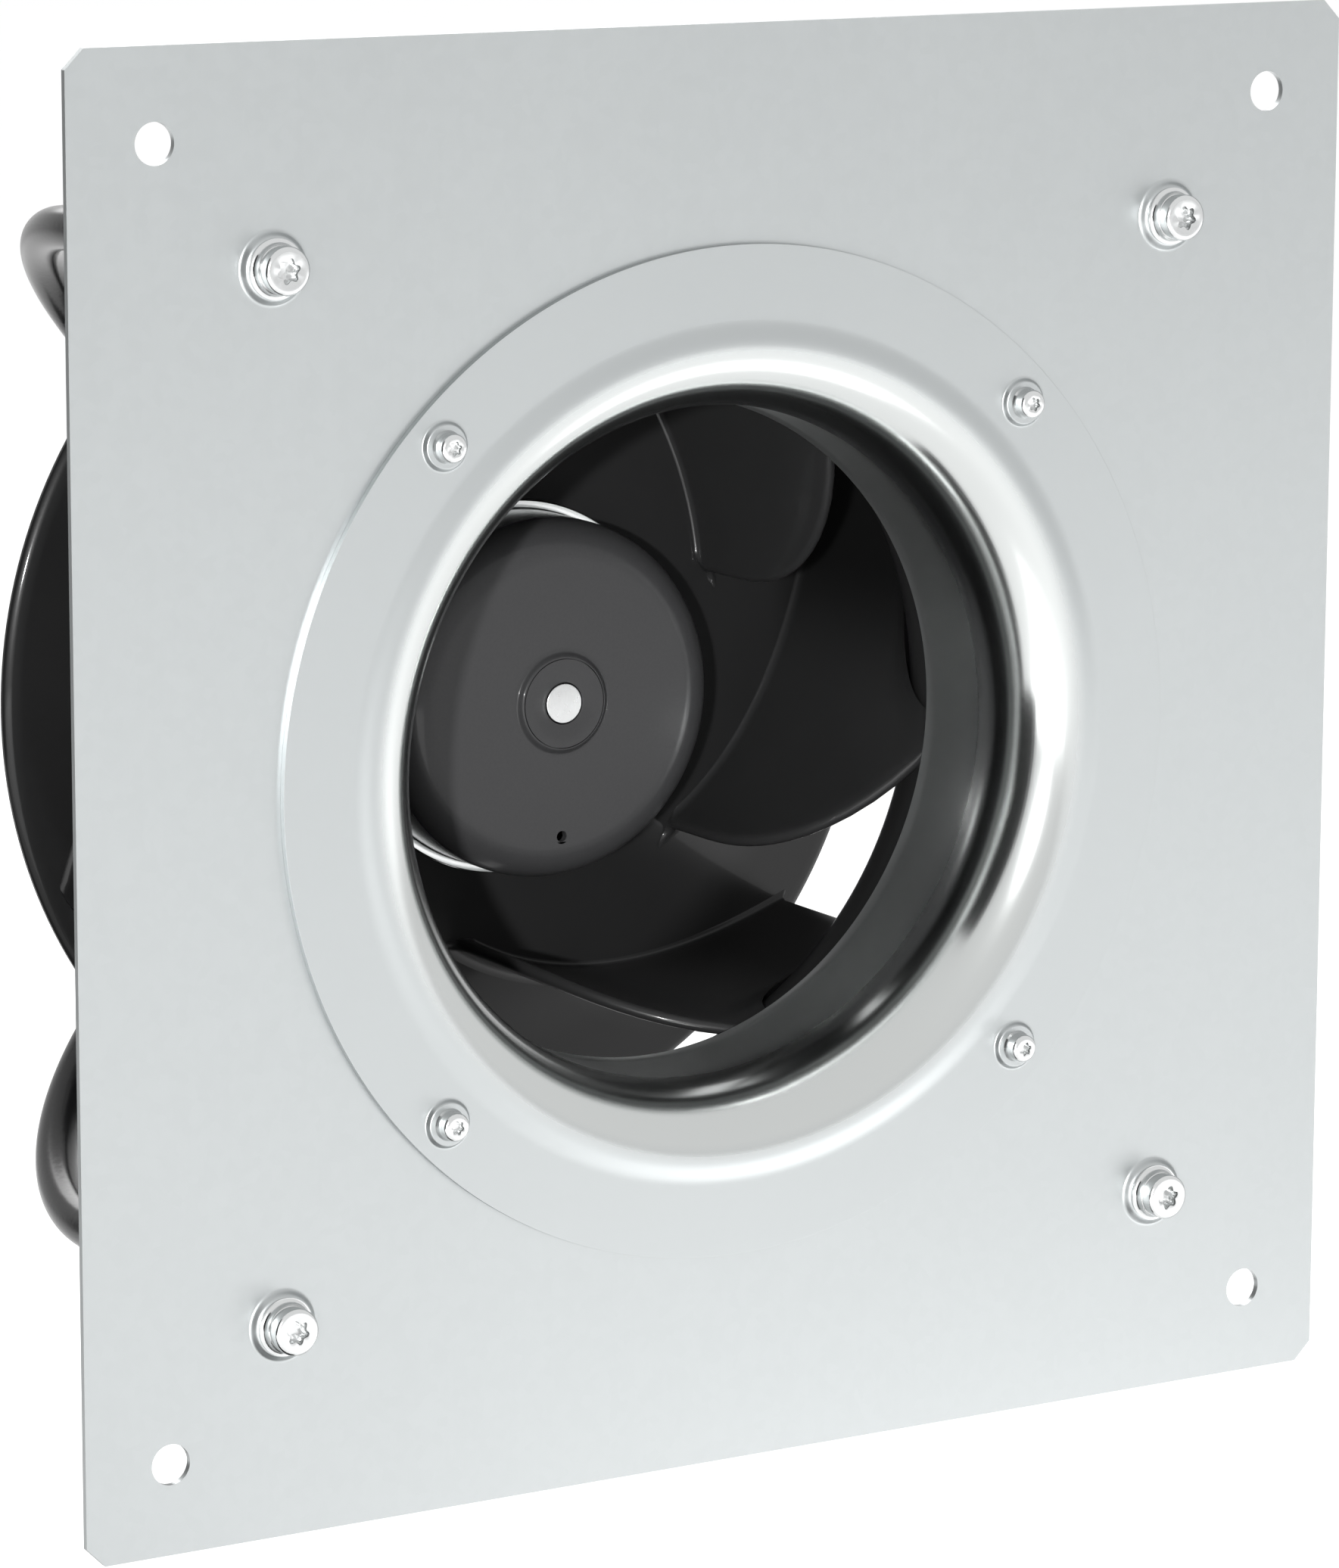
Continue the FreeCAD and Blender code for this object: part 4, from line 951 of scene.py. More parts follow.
def hex_prism(shape, width, bottom, top, bore, radius=0.0):
    """Hexagon nut or head with chamfered corners and a round bore, along the fan's axis."""
    count = 96
    height = top - bottom
    chamfer = width * 0.06
    corner = width / 2 / math.cos(math.pi / 6)
    levels = [(0.0, chamfer), (chamfer * 0.6, 0.0), (height - chamfer * 0.6, 0.0), (height, chamfer)]
    rings = [hexagon(width, corner - pull * 1.2, bottom + rise, count, radius) for rise, pull in levels]
    break_edge = 0.0002
    for reach, station in ((bore + break_edge, top), (bore, top - break_edge), (bore, bottom + break_edge),
                           (bore + break_edge, bottom)):
        rings.append(circle(reach, station, count, radius))
    shape.skin(rings, loop=True)


class FAN_OT_strut_bolts(bpy.types.Operator):
    """Bolts and flared washers at the struts' front ends"""
    bl_idname = "fan.strut_bolts"
    bl_label = "Strut bolts"

    def execute(self, context):
        size = context.scene.fan_fasteners
        radius = size.strut_circle
        seat = -context.scene.fan_plate.boss_height
        head = size.bolt_head / 2
        seam = size.bolt_front + size.bolt_seam
        rise = seat - seam
        bore = 0.0032
        foot = size.washer_radius
        flare = [(bore, 0.0), (foot, 0.0), (foot, 0.0003)]
        flare += [(foot + (head - foot) * sine ** 0.8, 0.0003 + (rise - 0.00045) * (1 - cosine))
                  for sine, cosine in quarter(12, 1)]
        flare += [(head - 0.00015, rise), (bore, rise)]
        washer = Shape()
        washer.skin([circle(r, seat - h, SMALL_ROUND, radius) for r, h in flare], loop=True)
        build("strut_bolt_washers", washer, "bright_steel", "frame", "strut_washers", 4)
        top = size.bolt_seam
        profile = [(0.003, 0.0), (head - 0.0002, 0.0), (head, 0.0002), (head, 0.0006), (head, top - 0.0006),
                   (head - 0.00008, top - 0.00042), (head - 0.0005, top - 0.00008), (head - 0.0007, top),
                   (head - 0.0011, top)]
        bolt = Shape()
        screw_head(bolt, radius, seam, FRONT, profile, size.bolt_socket, 0.0026)
        shank, shank_length = 0.003, 0.012
        rows = bolt.skin([circle(shank, station, 48, radius) for station in (seam + shank_length, seam)])
        bolt.cap(rows[0])
        build("strut_bolt_set", bolt, "bright_steel", "frame", "strut_bolts", 4)
        return {"FINISHED"}


class FAN_OT_nozzle_screws(bpy.types.Operator):
    """Button-head screws of the nozzle, with their nuts behind the plate"""
    bl_idname = "fan.nozzle_screws"
    bl_label = "Nozzle screws"

    def execute(self, context):
        size = context.scene.fan_fasteners
        nozzle = context.scene.fan_nozzle
        radius = size.nozzle_spacing / math.sqrt(2)
        seat = -nozzle.sheet - nozzle.boss_height
        head = size.nozzle_head / 2
        top = seat - size.nozzle_front
        profile = [(0.002, 0.0), (head + 0.00045, 0.0), (head + 0.0004, 0.00015), (head + 0.0001, 0.0005),
                   (head, 0.0009), (head, top - 0.0009)]
        profile += [(head - 0.0011 * (1 - cosine), top - 0.0009 + 0.0009 * sine)
                    for sine, cosine in quarter(8, 1)]
        screw = Shape()
        screw_head(screw, radius, seat, FRONT, profile, 0.0016, 0.0014)
        thread_depth = 0.00025
        threaded_end(screw, radius, seat, size.nozzle_back, size.nozzle_thread / 2, thread_depth,
                     size.nozzle_pitch)
        build("nozzle_screw_set", screw, "bright_steel", "frame", "nozzle_screws", 4)
        nut = Shape()
        back = context.scene.fan_plate.thickness
        hex_prism(nut, size.nut_width, back, back + size.nut_height, size.nozzle_thread / 2, radius)
        build("nozzle_nut_set", nut, "bright_steel", "frame", "nozzle_nuts", 4)
        return {"FINISHED"}


# Struts

def strut_section(half_wide, half_thick, squareness):
    """Section across a strut: a circle that can turn into a flat bar with round corners."""
    count = 48
    power = 2.0 / squareness
    section = []
    for i in range(count):
        sine = math.sin(math.tau * i / count)
        cosine = math.cos(math.tau * i / count)
        section.append((math.copysign(abs(sine) ** power, sine) * half_wide,
                        math.copysign(abs(cosine) ** power, cosine) * half_thick))
    return section


def strut_shape(size, circle_radius):
    """Round bar: straight back, wide bend inwards, then a flattened end with a rounded tip."""
    bar = size.diameter / 2
    wide = size.lug_width / 2
    thick = size.lug_thickness / 2
    round_bar, flat_bar = 2.0, 7.0
    chamfer = 0.0004
    start = size.run_station - size.bend_radius
    back = Vector((0, 1))
    inwards = Vector((-1, 0))
    sections = [(Vector((circle_radius, chamfer)), back, bar - chamfer, bar - chamfer, round_bar)]
    for station in [2 * chamfer] + [start * step / 10 for step in range(1, 10)]:
        sections.append((Vector((circle_radius, station)), back, bar, bar, round_bar))
    pivot = Vector((circle_radius - size.bend_radius, start))
    for sine, cosine in quarter(40):
        place = pivot + Vector((cosine, sine)) * size.bend_radius
        sections.append((place, Vector((-sine, cosine)), bar, bar, round_bar))
    taper_start = size.lug_radius + size.lug_length + size.taper
    taper_steps = 14
    for step in range(taper_steps + 1):
        part = step / taper_steps
        ease = part * part * (3 - 2 * part)
        sections.append((Vector((taper_start - size.taper * part, size.run_station)), inwards,
                         bar + (wide - bar) * ease, bar + (thick - bar) * ease,
                         round_bar + (flat_bar - round_bar) * ease))
    for sine, cosine in quarter(16):
        end = max(cosine, 0.02)
        sections.append((Vector((size.lug_radius - wide * sine, size.run_station)), inwards,
                         wide * end, thick - chamfer * (1 - end), flat_bar))
    rings = []
    for place, heading, half_wide, half_thick, squareness in sections:
        side = Vector((heading.y, -heading.x))
        ring = []
        for across, out in strut_section(half_wide, half_thick, squareness):
            spot = place + side * out
            ring.append(Vector((spot.x, spot.y, across)))
        rings.append(ring)
    shape = Shape()
    shape.solid(rings)
    return shape


class FAN_OT_struts(bpy.types.Operator):
    """Four bent struts and the screws at their flattened ends"""
    bl_idname = "fan.struts"
    bl_label = "Struts"

    def execute(self, context):
        size = context.scene.fan_struts
        pattern = strut_shape(size, context.scene.fan_fasteners.strut_circle)
        names = ("top_right", "top_left", "bottom_left", "bottom_right")
        for name, degrees in zip(names, QUARTERS):
            bar = pattern.moved(Matrix.Rotation(-math.radians(degrees), 4, "Y"))
            build("strut_bar_" + name, bar, "black_paint", "frame", "strut_" + name, sharp=50.0)
        seat = size.run_station + size.lug_thickness / 2
        head = size.screw_head / 2
        top = size.screw_top - seat
        profile = [(0.0024, 0.0), (head - 0.0002, 0.0), (head, 0.0002), (head, top - 0.0007),
                   (head - 0.0001, top - 0.0004), (head - 0.0006, top), (head - 0.001, top)]
        screw = Shape()
        screw_head(screw, size.lug_radius, seat, BACK, profile, 0.0024, 0.002)
        build("lug_screw_set", screw, "bright_steel", "frame", "lug_screws", 4)
        return {"FINISHED"}


# Impeller

# Rows of points up a blade, and steps along it and round its two ends
FILLET_ROWS = 6
MIDDLE_ROWS = 16
BLADE_STEPS = 40
TAIL_STEPS = 6
NOSE_STEPS = 8


def disc_station(size, radius):
    """Station of the disc's front face: a shallow cone with a slight crown."""
    part = (radius - size.hub_radius) / (size.radius - size.hub_radius)
    return size.hub_front + size.rise * part - 4 * size.crown * part * (part - 1)


def shroud_station(size, radius):
    """Station of the shroud's flow face at a radius beyond the eye."""
    wide = size.radius - size.eye_radius + size.wall
    pivot = size.eye_radius + wide
    part = max(-1.0, min(1.0, (pivot - radius) / wide))
    return size.shroud_front + size.lip + size.shroud_depth * math.sin(math.acos(part))


def blade_turn(size, radius):
    """Angle about the axis at which a blade's middle lies at a radius."""
    span = math.log(size.tip_radius / size.root_radius)
    part = math.log(radius / size.root_radius) / span
    bend = 2 * (size.root_angle - 2 * size.middle_angle + size.tip_angle)
    slope = size.tip_angle - size.root_angle - bend
    steps = 24
    wrap = 0.0
    for step in range(steps):
        here = part * (step + 0.5) / steps
        wrap += part * span / steps / math.tan(size.root_angle + slope * here + bend * here * here)
    return size.start + wrap


def blade_heading(size, radius):
    """Direction in which a blade's middle runs outwards at a radius, in the X-Z plane."""
    small = radius * 0.001
    first = at(radius - small, 0.0, blade_turn(size, radius - small))
    second = at(radius + small, 0.0, blade_turn(size, radius + small))
    return (second - first).normalized()


def leading_edge(size, part):
    """(radius, station) of the leading edge, from the disc at 0 to the shroud at 1."""
    root = size.root_radius - size.root_thickness / 3
    low = disc_station(size, root)
    straight = low - size.rise / 2
    high = size.shroud_front + size.lip
    station = low + (high - low) * part
    if station > straight:
        return root, station
    sweep = ((straight - station) / (straight - high)) ** size.edge_power
    return root + (size.eye_radius - root) * sweep, station


def blade_point(spot, across, ahead):
    """Point beside a blade's middle; a fillet spreads about the axis, so it stays on disc and shroud."""
    middle, heading, side, half, spread = spot
    point = middle + side * half * across + heading * half * ahead
    return Matrix.Rotation(-spread * across, 4, "Y") @ point


def blade_place(size, along, up):
    """Radius and station of a blade's middle, blended from its four edges."""
    root = math.log(leading_edge(size, 0.0)[0])
    eye = math.log(size.eye_radius)
    tip = math.log(size.tip_radius)
    edge_radius, edge_station = leading_edge(size, up)
    low = root + (tip - root) * along
    high = eye + (tip - eye) * along
    radius = (1 - up) * low + up * high
    radius += (1 - along) * (math.log(edge_radius) - (1 - up) * root - up * eye)
    station = (1 - up) * disc_station(size, math.exp(low)) + up * shroud_station(size, math.exp(high))
    start_low = disc_station(size, math.exp(root))
    start_high = size.shroud_front + size.lip
    station += (1 - along) * (edge_station - (1 - up) * start_low - up * start_high)
    return math.exp(radius), station


def height_share(size, row, height):
    """Share of a blade's height at a row: rows lie close together in the fillets at both ends."""
    near = [size.fillet * (1 - cosine) / height for _, cosine in quarter(FILLET_ROWS)]
    last = 2 * len(near) + MIDDLE_ROWS - 1
    if row < len(near):
        return near[row]
    if row > last - len(near):
        return 1.0 - near[last - row]
    return near[-1] + (1 - 2 * near[-1]) * (row - len(near) + 1) / (MIDDLE_ROWS + 1)


def fillet_spread(fillet, distance):
    """Extra half thickness inside a fillet, at a distance from the disc or shroud."""
    rest = fillet - min(distance, fillet)
    return fillet - math.sqrt(fillet ** 2 - rest ** 2)


def blade_spot(size, row, along):
    """Middle, heading, side, half thickness and spread of a blade at a row and a share of its length."""
    bottom = blade_place(size, along, 0.0)[1]
    height = bottom - blade_place(size, along, 1.0)[1]
    up = height_share(size, row, height)
    radius, station = blade_place(size, along, up)
    middle = at(radius, station, blade_turn(size, radius))
    heading = blade_heading(size, radius)
    root = leading_edge(size, 0.0)[0]
    outwards = math.log(radius / root) / math.log(size.tip_radius / root)
    half = (size.root_thickness + (size.tip_thickness - size.root_thickness) * outwards) / 2
    spread = fillet_spread(size.fillet, up * height) + fillet_spread(size.fillet, (1 - up) * height)
    spread /= Vector((middle.x, 0.0, middle.z)).dot(heading)
    return middle, heading, Vector((-heading.z, 0.0, heading.x)), half, spread


def blade_shape(size):
    """One blade with a round nose and tail, and a fillet along disc and shroud."""
    nose_reach, tail_reach = 1.3, 0.8
    shape = Shape()
    rings = []
    for row in range(2 * (FILLET_ROWS + 1) + MIDDLE_ROWS):
        spots = [blade_spot(size, row, (step / BLADE_STEPS) ** 1.2) for step in range(BLADE_STEPS + 1)]
        ring = [blade_point(spot, 1.0, 0.0) for spot in spots]
        for step in range(1, TAIL_STEPS):
            turn = math.pi * step / TAIL_STEPS
            ring.append(blade_point(spots[-1], math.cos(turn), math.sin(turn) * tail_reach))
        ring += [blade_point(spot, -1.0, 0.0) for spot in reversed(spots)]
        for step in range(1, NOSE_STEPS):
            turn = math.pi * step / NOSE_STEPS
            ring.append(blade_point(spots[0], -math.cos(turn), -math.sin(turn) * nose_reach))
        rings.append(ring)
    rows = shape.skin(rings)
    tail = BLADE_STEPS + TAIL_STEPS // 2
    shape.cap_across(rows[0], tail)
    shape.cap_across(rows[-1], tail)
    return shape


def disc_outline(size):
    """Section of the disc: front face, rim, rear face and the collar at its bore."""
    steps = 36
    radii = [size.hub_radius + (size.radius - size.hub_radius) * step / steps for step in range(steps + 1)]
    collar = size.hub_radius + size.hub_wall
    front = [(radius, disc_station(size, radius)) for radius in radii]
    back = [(radius, station + size.wall) for radius, station in reversed(front) if radius > collar + 0.002]
    rim = front[-1][1]
    front[-1] = (size.radius - 0.0006, rim + 0.0001)
    back[0] = (size.radius - 0.0006, rim + size.wall - 0.0001)
    edge = [(size.radius, rim + 0.0008), (size.radius, rim + size.wall - 0.0006)]
    foot = back[-1][1]
    hub = [(collar + 0.0006, foot), (collar, foot + 0.0008), (collar, size.hub_back - 0.0005),
           (collar - 0.0005, size.hub_back), (size.hub_radius, size.hub_back)]
    return front + edge + back + hub


def shroud_outline(size):
    """Section of the shroud: a straight lip, then two quarter ellipses, one for each face."""
    steps = 30
    start = size.shroud_front + size.lip
    wide = size.radius - size.eye_radius + size.wall
    pivot = size.eye_radius + wide
    faces = []
    for reach, depth in ((wide, size.shroud_depth), (wide - size.wall, size.shroud_depth - size.wall)):
        last = math.acos((pivot - size.radius) / reach)
        turns = [last * step / steps for step in range(steps + 1)]
        faces.append([(pivot - reach * math.cos(turn), start + depth * math.sin(turn)) for turn in turns])
    flow, outside = faces
    outer = size.eye_radius + size.wall
    front = size.shroud_front
    lip_inside = [(size.eye_radius + 0.0004, front), (size.eye_radius, front + 0.0005)]
    lip_outside = [(outer, front + 0.0005), (outer - 0.0004, front)]
    return lip_inside + flow + outside[::-1] + lip_outside


class FAN_OT_impeller(bpy.types.Operator):
    """Disc, blades and shroud of the impeller"""
    bl_idname = "fan.impeller"
    bl_label = "Impeller"

    def execute(self, context):
        size = context.scene.fan_impeller
        build("impeller_blade_set", blade_shape(size), "black_plastic", "rotor", "impeller_wheel",
              size.blades, first=0.0, sharp=60.0)
        disc = Shape()
        disc.turned(disc_outline(size), ROUND)
        build("impeller_disc_moulding", disc, "black_plastic", "rotor", "impeller_wheel")
        shroud = Shape()
        shroud.turned(shroud_outline(size), ROUND)
        build("impeller_shroud_moulding", shroud, "black_plastic", "rotor", "impeller_shroud")
        return {"FINISHED"}


# Rotor

class FAN_OT_rotor(bpy.types.Operator):
    """Rotor bell with its boss and vent hole, the hub ring and the shaft's end"""
    bl_idname = "fan.rotor"
    bl_label = "Rotor"

    def execute(self, context):
        size = context.scene.fan_rotor
        shape = Shape()
        face_outer = size.radius - size.edge
        inner = size.radius - size.wall
        fine = 0.0003
        wall = [(face_outer - 0.0008, size.front)]
        wall += [(face_outer + size.edge * sine, size.front + size.edge * (1 - cosine))
                 for sine, cosine in quarter(16)]
        wall += [(size.radius, size.front + size.edge + 0.0008), (size.radius, size.back - fine),
                 (size.radius - fine, size.back), (inner + fine, size.back), (inner, size.back - fine),
                 (inner, size.back - 0.004)]
        wall_rows = shape.turned(wall, ROTOR_ROUND, loop=False)
        top = size.front - size.boss_height
        boss = [(size.boss_foot + 0.0009, size.front)]
        boss += [(radius, size.front - height) for radius, height
                 in swell(size.boss_foot, size.boss + 0.0002, size.boss_height, 8)]
        groove = top + 0.0006
        boss += [(size.boss + 0.00012, top), (size.boss + 0.0001, groove), (size.boss - 0.0001, groove),
                 (size.boss - 0.00012, top), (size.boss - 0.001, top),
                 (size.shaft_radius + 0.0007, top), (size.shaft_radius + 0.00025, top + 0.0002),
                 (size.shaft_radius + 0.0002, top + 0.0012)]
        boss_rows = shape.turned(boss, ROTOR_ROUND, loop=False)
        vent = [(size.vent_radius + 0.0005, 0.0), (size.vent_radius + 0.00012, 0.0),
                (size.vent_radius, 0.00012), (size.vent_radius, size.wall)]
        vent_rows = shape.skin([circle(r, size.front + h, 32, 0.0, -size.vent_place) for r, h in vent])
        shape.fill([wall_rows[0], boss_rows[0], vent_rows[0]])
        bell = make_object("rotor_bell_drawn", shape, "rotor_paint", facing=OUTWARDS)
        keep(bell, "rotor", "rotor_bell")
        bearing_seat, shoulder = 0.004, size.front + 0.009
        tail = SHAFT_HIGH.y
        pin = Shape()
        pin.turned(rounded([(0.0, top, 0.0), (size.shaft_radius, top, fine),
                            (size.shaft_radius, shoulder, 0.0), (bearing_seat, shoulder, 0.0),
                            (bearing_seat, tail, 0.0004), (0.0, tail, 0.0)]),
                   SMALL_ROUND, loop=False)
        build("shaft_ground", pin, "ground_steel", "rotor", "shaft")
        inside = size.radius + 0.00003
        outside = RING_HIGH.x
        ring = Shape()
        ring.turned(rounded([(inside, RING_LOW.y, fine), (outside, RING_LOW.y, fine),
                             (outside, RING_HIGH.y, fine), (inside, RING_HIGH.y, fine)], 4), ROTOR_ROUND)
        build("hub_ring_bright", ring, "bright_steel", "rotor", "hub_ring")
        return {"FINISHED"}


# Motor housing

def downwards(station):
    """Turns a piece that was made along the fan's axis to point down at a station."""
    return Matrix.Translation((0.0, station, 0.0)) @ Matrix.Rotation(-math.pi / 2, 4, "X")


def rib_shape(size):
    """Cooling rib with drafted flanks and rounded ends, on the housing's +X side."""
    start = size.front + size.rib_margin
    end = size.back - size.rib_margin
    foot = size.radius - size.wall / 2
    half = size.rib_width / 2
    stations = [(start, 0.0), (start + 0.0003, 0.55), (start + 0.001, 0.9), (start + 0.002, 1.0),
                (end - 0.002, 1.0), (end - 0.001, 0.9), (end - 0.0003, 0.55), (end, 0.0)]
    rings = []
    for station, rise in stations:
        crest = size.radius + size.rib_height * rise
        flank = [(foot, half), (size.radius, half), (crest - 0.0002, half * 0.72), (crest, half * 0.45)]
        ring = [Vector((reach, station, -across)) for reach, across in flank]
        rings.append(ring + [Vector((reach, station, across)) for reach, across in reversed(flank)])
    shape = Shape()
    shape.solid(rings)
    return shape


class FAN_OT_motor_housing(bpy.types.Operator):
    """Cast housing with its collar, strut posts, gland pad and cooling ribs"""
    bl_idname = "fan.motor_housing"
    bl_label = "Motor housing"

    def execute(self, context):
        size = context.scene.fan_housing
        gland = context.scene.fan_gland
        struts = context.scene.fan_struts
        inner = size.radius - size.wall
        inside = size.front + size.floor
        pot = rounded([
            (size.bore, size.front, 0.0004), (size.spigot - size.spigot_wall, size.front, 0.0008),
            (size.spigot - size.spigot_wall, size.spigot_front, 0.0005),
            (size.spigot, size.spigot_front, 0.0005), (size.spigot, size.front, 0.001),
            (size.radius, size.front, 0.0016), (size.radius, size.back, 0.0004),
            (inner, size.back, 0.0004), (inner, inside, 0.0015), (size.bore, inside, 0.0004)])
        shape = Shape()
        shape.turned(pot, ROUND)
        for degrees in QUARTERS:
            middle = at(struts.lug_radius, 0.0, math.radians(degrees))
            post = [(size.post_radius, inside - 0.0005), (size.post_radius, size.post_back - 0.0005),
                    (size.post_radius - 0.00015, size.post_back - 0.00015),
                    (size.post_radius - 0.0005, size.post_back)]
            shape.solid([circle(r, station, 56, middle.x, middle.z) for r, station in post])
        pad = Shape()
        reach = gland.pad_radius
        hole = gland.thread_radius + 0.0001
        levels = [(reach + 0.001, inner + 0.0003), (reach + 0.0004, size.radius - 0.0006),
                  (reach, gland.pad_end - 0.0005), (reach - 0.00015, gland.pad_end - 0.00015),
                  (reach - 0.0005, gland.pad_end), (hole, gland.pad_end), (hole, inner + 0.0003)]
        pad.skin([circle(r, drop, 72) for r, drop in levels], loop=True)
        shape.add(pad, downwards(gland.station))
        build("motor_housing_casting", shape, "cast_aluminium", "frame", "motor_housing")
        build("motor_housing_ribs", rib_shape(size), "cast_aluminium", "frame", "motor_housing",
              size.ribs, math.degrees(size.rib_first), math.degrees(size.rib_gap))
        return {"FINISHED"}


def notched_outline(size, post_place):
    """Edge of the cover: a circle with four open notches round the strut posts."""
    reach = size.post_radius + size.notch_gap
    mouth = math.sqrt(size.radius ** 2 - reach ** 2)
    open_angle = math.asin(reach / size.radius)
    notch_steps, rim_steps = 20, 36
    outline = []
    for degrees in QUARTERS:
        turn = math.radians(degrees)
        along = Vector((math.cos(turn), 0.0, math.sin(turn)))
        across = Vector((-math.sin(turn), 0.0, math.cos(turn)))
        outline.append(along * mouth - across * reach)
        for step in range(notch_steps + 1):
            bend = math.pi * step / notch_steps
            outline.append(along * (post_place - reach * math.sin(bend)) - across * reach * math.cos(bend))
        outline.append(along * mouth + across * reach)
        for step in range(1, rim_steps):
            here = turn + open_angle + (math.pi / 2 - 2 * open_angle) * step / rim_steps
            outline.append(at(size.radius, 0.0, here))
    return outline


class FAN_OT_electronics_cover(bpy.types.Operator):
    """Moulded rear cover with its raised middle, and the cover's screws"""
    bl_idname = "fan.electronics_cover"
    bl_label = "Electronics cover"

    def execute(self, context):
        size = context.scene.fan_housing
        struts = context.scene.fan_struts
        back = size.cover_front + size.cover_wall
        lift = Vector((0.0, back, 0.0))
        shape = Shape()
        rows = [shape.ring([point + lift for point in notched_outline(size, struts.lug_radius)])]
        for step in range(4):
            middle = at(size.screw_circle, 0.0, size.screw_first + math.pi / 2 * step)
            rows.append(shape.ring(circle(0.0017, back, 24, middle.x, middle.z)))
        top = back + size.dome_height
        crest = size.dome_radius - size.dome_slope
        flank = swell(size.dome_radius + 0.0006, crest - 0.0006, size.dome_height, 12)
        levels = [(size.dome_radius + 0.0012, back)] + [(radius, back + height) for radius, height in flank]
        levels += [(crest * inwards, top) for inwards in (0.8, 0.5, 0.2)]
        dome = shape.turned(levels, 144, loop=False)
        shape.cap(dome[-1])
        rows.append(dome[0])
        shape.fill(rows)
        cover = make_object("electronics_cover_moulding", shape, "cover_plastic", facing=-OUTWARDS)
        sheet_metal(cover, size.cover_wall, 0.0004)
        keep(cover, "frame", "electronics_cover")
        head = size.screw_head / 2
        height = size.screw_height
        profile = [(0.0014, 0.0), (head - 0.0002, 0.0), (head, 0.0002), (head, height * 0.45),
                   (head - 0.0001, height * 0.62), (head - 0.0005, height * 0.85), (head - 0.001, height)]
        screw = Shape()
        screw_head(screw, size.screw_circle, back, BACK, profile, 0.0014, 0.0011, 48)
        build("cover_screw_set", screw, "bright_steel", "frame", "cover_screws", 4,
              math.degrees(size.screw_first))
        return {"FINISHED"}


class FAN_OT_cable_gland(bpy.types.Operator):
    """Body and cap nut of the cable gland, on an axis that points down"""
    bl_idname = "fan.cable_gland"
    bl_label = "Cable gland"

    def execute(self, context):
        size = context.scene.fan_gland
        down = downwards(size.station)
        body_end = size.body_top + size.body_length
        body = Shape()
        hex_prism(body, size.width, size.body_top, body_end, size.bore)
        build("gland_body_hexagon", body.moved(down), "gland_plastic", "frame", "gland_body")
        count = 144
        barrel = size.cap_end - size.cap_taper
        start = body_end + 0.0001
        reach = size.width / 2
        rings = [hexagon(size.width, reach * 1.115, station, count, pull=pull)
                 for station, pull in ((start, 0.0006), (start + 0.0004, 0.0), (barrel - 0.0006, 0.0))]
        crown = 0.0034
        rings += [circle(reach - crown * (1 - cosine), barrel + size.cap_taper * sine, count)
                  for sine, cosine in quarter(12)]
        lip = size.bore + 0.0012
        end = size.cap_end
        inside = [(lip, end), (lip - 0.0004, end - 0.0003), (lip - 0.0004, end - 0.001),
                  (size.bore, end - 0.0012), (size.bore, start)]
        cap = Shape()
        cap.skin(rings + [circle(radius, station, count) for radius, station in inside], loop=True)
        build("gland_cap_moulding", cap.moved(down), "gland_plastic", "frame", "gland_cap")
        return {"FINISHED"}


class FAN_OT_inner_parts(bpy.types.Operator):
    """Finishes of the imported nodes, which show wherever no finer piece stands for them"""
    bl_idname = "fan.inner_parts"
    bl_label = "Inner parts"

    def execute(self, context):
        for row in frame["record"]["subparts"]:
            node = frame["nodes"][row["node"]]
            node.data.materials.clear()
            node.data.materials.append(finish_of(row["material_slot"]))
        return {"FINISHED"}


# Studio

def softbox(name, place, target, size, power, diffuse=True, glossy=True):
    """Area light; without diffuse it is a reflector that only shows in bright metal."""
    light = bpy.data.lights.new(name, "AREA")
    light.shape = "RECTANGLE"
    light.size, light.size_y = size
    light.energy = power
    lamp = bpy.data.objects.new(name, light)
    lamp.location = place
    lamp.rotation_mode = "QUATERNION"
    lamp.rotation_quaternion = (Vector(target) - Vector(place)).to_track_quat("-Z", "Y")
    lamp.visible_diffuse = diffuse
    lamp.visible_glossy = glossy
    bpy.context.scene.collection.objects.link(lamp)


def card(name, corners, finish):
    """Single face that belongs to the studio."""
    mesh = bpy.data.meshes.new(name)
    mesh.from_pydata(corners, [], [(0, 1, 2, 3)])
    mesh.materials.append(finish.material)
    piece = bpy.data.objects.new(name, mesh)
    bpy.context.scene.collection.objects.link(piece)
    return piece


def dark_flag(name, corners):
    """Black card that only shows in reflections."""
    flag = card(name, corners, Finish(name, (0.01, 0.01, 0.01), 0.9, level=0.0))
    flag.visible_camera = False
    flag.visible_diffuse = False
    flag.visible_shadow = False


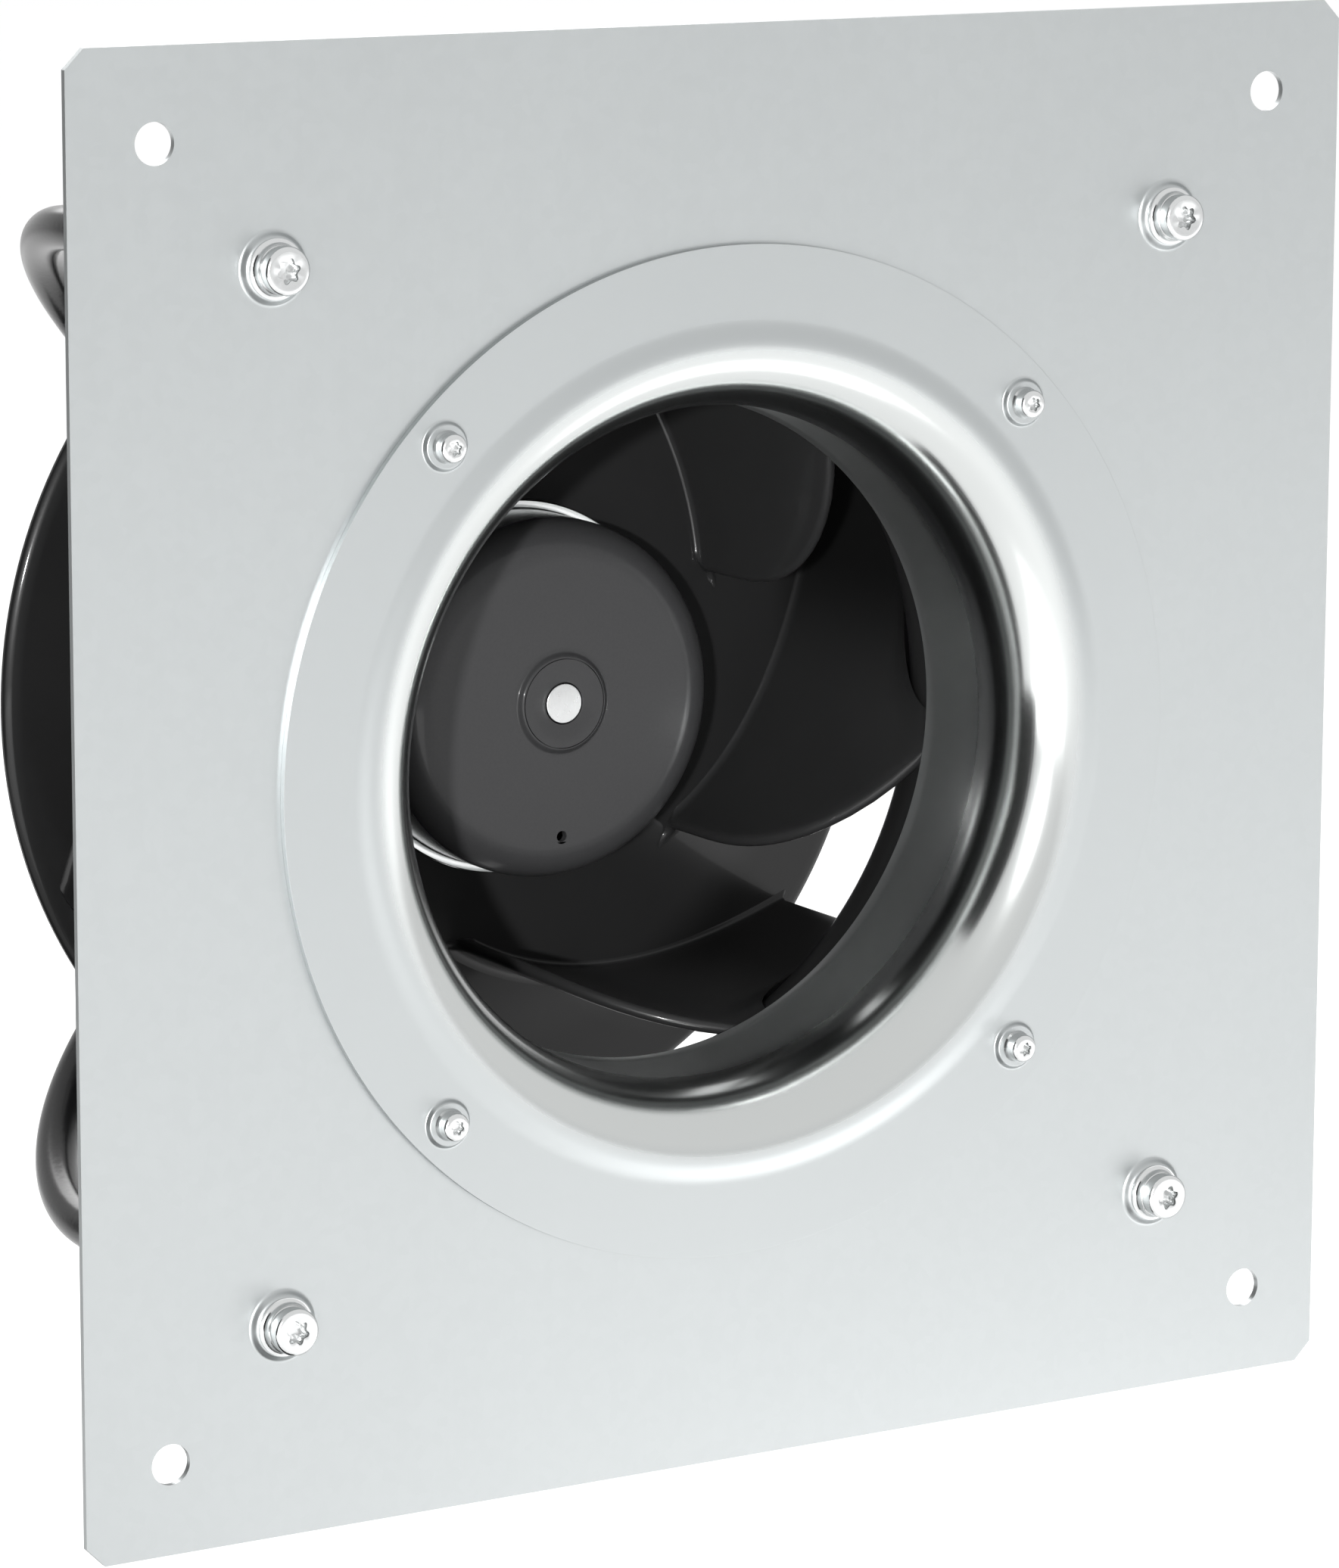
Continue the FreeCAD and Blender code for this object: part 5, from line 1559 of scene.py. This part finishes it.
class FAN_OT_studio(bpy.types.Operator):
    """Pale floor, soft lights and the camera"""
    bl_idname = "fan.studio"
    bl_label = "Studio"

    def execute(self, context):
        scene = context.scene
        stage = scene.fan_stage
        half = stage.floor_size / 2
        level = CAD_BOX[0].z - stage.floor_drop
        finish = Finish("floor", scene.fan_finishes.floor, 0.7, level=0.2)
        finish.shade(0.98 + finish.noise(0.8) * 0.03)
        corners = [(-half, -half), (half, -half), (half, half), (-half, half)]
        card("floor", [(x, y, level) for x, y in corners], finish)
        world = bpy.data.worlds.new("Studio")
        world.use_nodes = True
        background = world.node_tree.nodes["Background"]
        background.inputs["Color"].default_value = (1.0, 1.0, 1.0, 1.0)
        background.inputs["Strength"].default_value = stage.sky
        scene.world = world
        fan = (0.0, 0.05, 0.0)
        softbox("key", (-2.05, -2.80, 0.50), fan, (0.09, 0.09), stage.key)
        softbox("floor_light", (2.0, -1.9, 1.2), (2.0, -1.9, level), (1.4, 1.4), 32.0, glossy=False)
        softbox("fill", (2.6, -1.7, 0.4), fan, (1.2, 1.8), 10.0, glossy=False)
        softbox("back", (0.6, 2.4, 1.6), fan, (1.8, 1.2), 30.0)
        for name, x, y, area, power in (("front_reflector", -1.2, -1.6, (1.9, 2.2), 27.0),
                                        ("near_reflector", 0.42, -0.42, (0.45, 0.26), 1.0)):
            softbox(name, (x, y, level + 0.01), (x, y, 1.0), area, power, diffuse=False)
        low = level + 0.005
        high = 1.4
        near, corner, far = (-1.3, -0.75), (-1.39, 0.56), (-0.75, 1.3)
        for name, first, second in (("side_flag", near, corner), ("rear_flag", corner, far)):
            dark_flag(name, [(*first, low), (*second, low), (*second, high), (*first, high)])
        dark_flag("floor_flag", [(-1.3, -0.22, low), (0.0, -0.12, low), (0.0, 0.5, low), (-1.39, 0.5, low)])
        data = bpy.data.cameras.new("camera")
        data.sensor_width = 36.0
        data.lens = stage.lens
        data.clip_start = 0.05
        data.clip_end = 200.0
        camera = bpy.data.objects.new("camera", data)
        right = Vector(stage.camera_right).normalized()
        up = Vector(stage.camera_up).normalized()
        away = right.cross(up)
        turned = Matrix((right, up, away)).transposed().to_4x4()
        camera.matrix_world = Matrix.Translation(Vector(stage.camera_place)) @ turned
        scene.collection.objects.link(camera)
        scene.camera = camera
        scene.view_settings.view_transform = "Standard"
        return {"FINISHED"}


OPERATORS = (
    FAN_OT_mounting_plate,
    FAN_OT_inlet_nozzle,
    FAN_OT_strut_bolts,
    FAN_OT_nozzle_screws,
    FAN_OT_struts,
    FAN_OT_impeller,
    FAN_OT_rotor,
    FAN_OT_motor_housing,
    FAN_OT_electronics_cover,
    FAN_OT_cable_gland,
    FAN_OT_inner_parts,
    FAN_OT_studio,
)


class FAN_PT_panel(bpy.types.Panel):
    """One button for each group of pieces"""
    bl_idname = "FAN_PT_panel"
    bl_label = "Plug fan"
    bl_space_type = "VIEW_3D"
    bl_region_type = "UI"
    bl_category = "Plug fan"

    def draw(self, context):
        for operator in OPERATORS:
            self.layout.operator(operator.bl_idname)


def register():
    for name, group in GROUPS.items():
        bpy.utils.register_class(group)
        setattr(bpy.types.Scene, name, PointerProperty(type=group))
    for operator in OPERATORS:
        bpy.utils.register_class(operator)
    bpy.utils.register_class(FAN_PT_panel)


def unregister():
    bpy.utils.unregister_class(FAN_PT_panel)
    for operator in reversed(OPERATORS):
        bpy.utils.unregister_class(operator)
    for name, group in reversed(GROUPS.items()):
        delattr(bpy.types.Scene, name)
        bpy.utils.unregister_class(group)


def main():
    register()
    for operator in OPERATORS:
        group, name = operator.bl_idname.split(".")
        getattr(getattr(bpy.ops, group), name)()


if __name__ == "__main__":
    main()
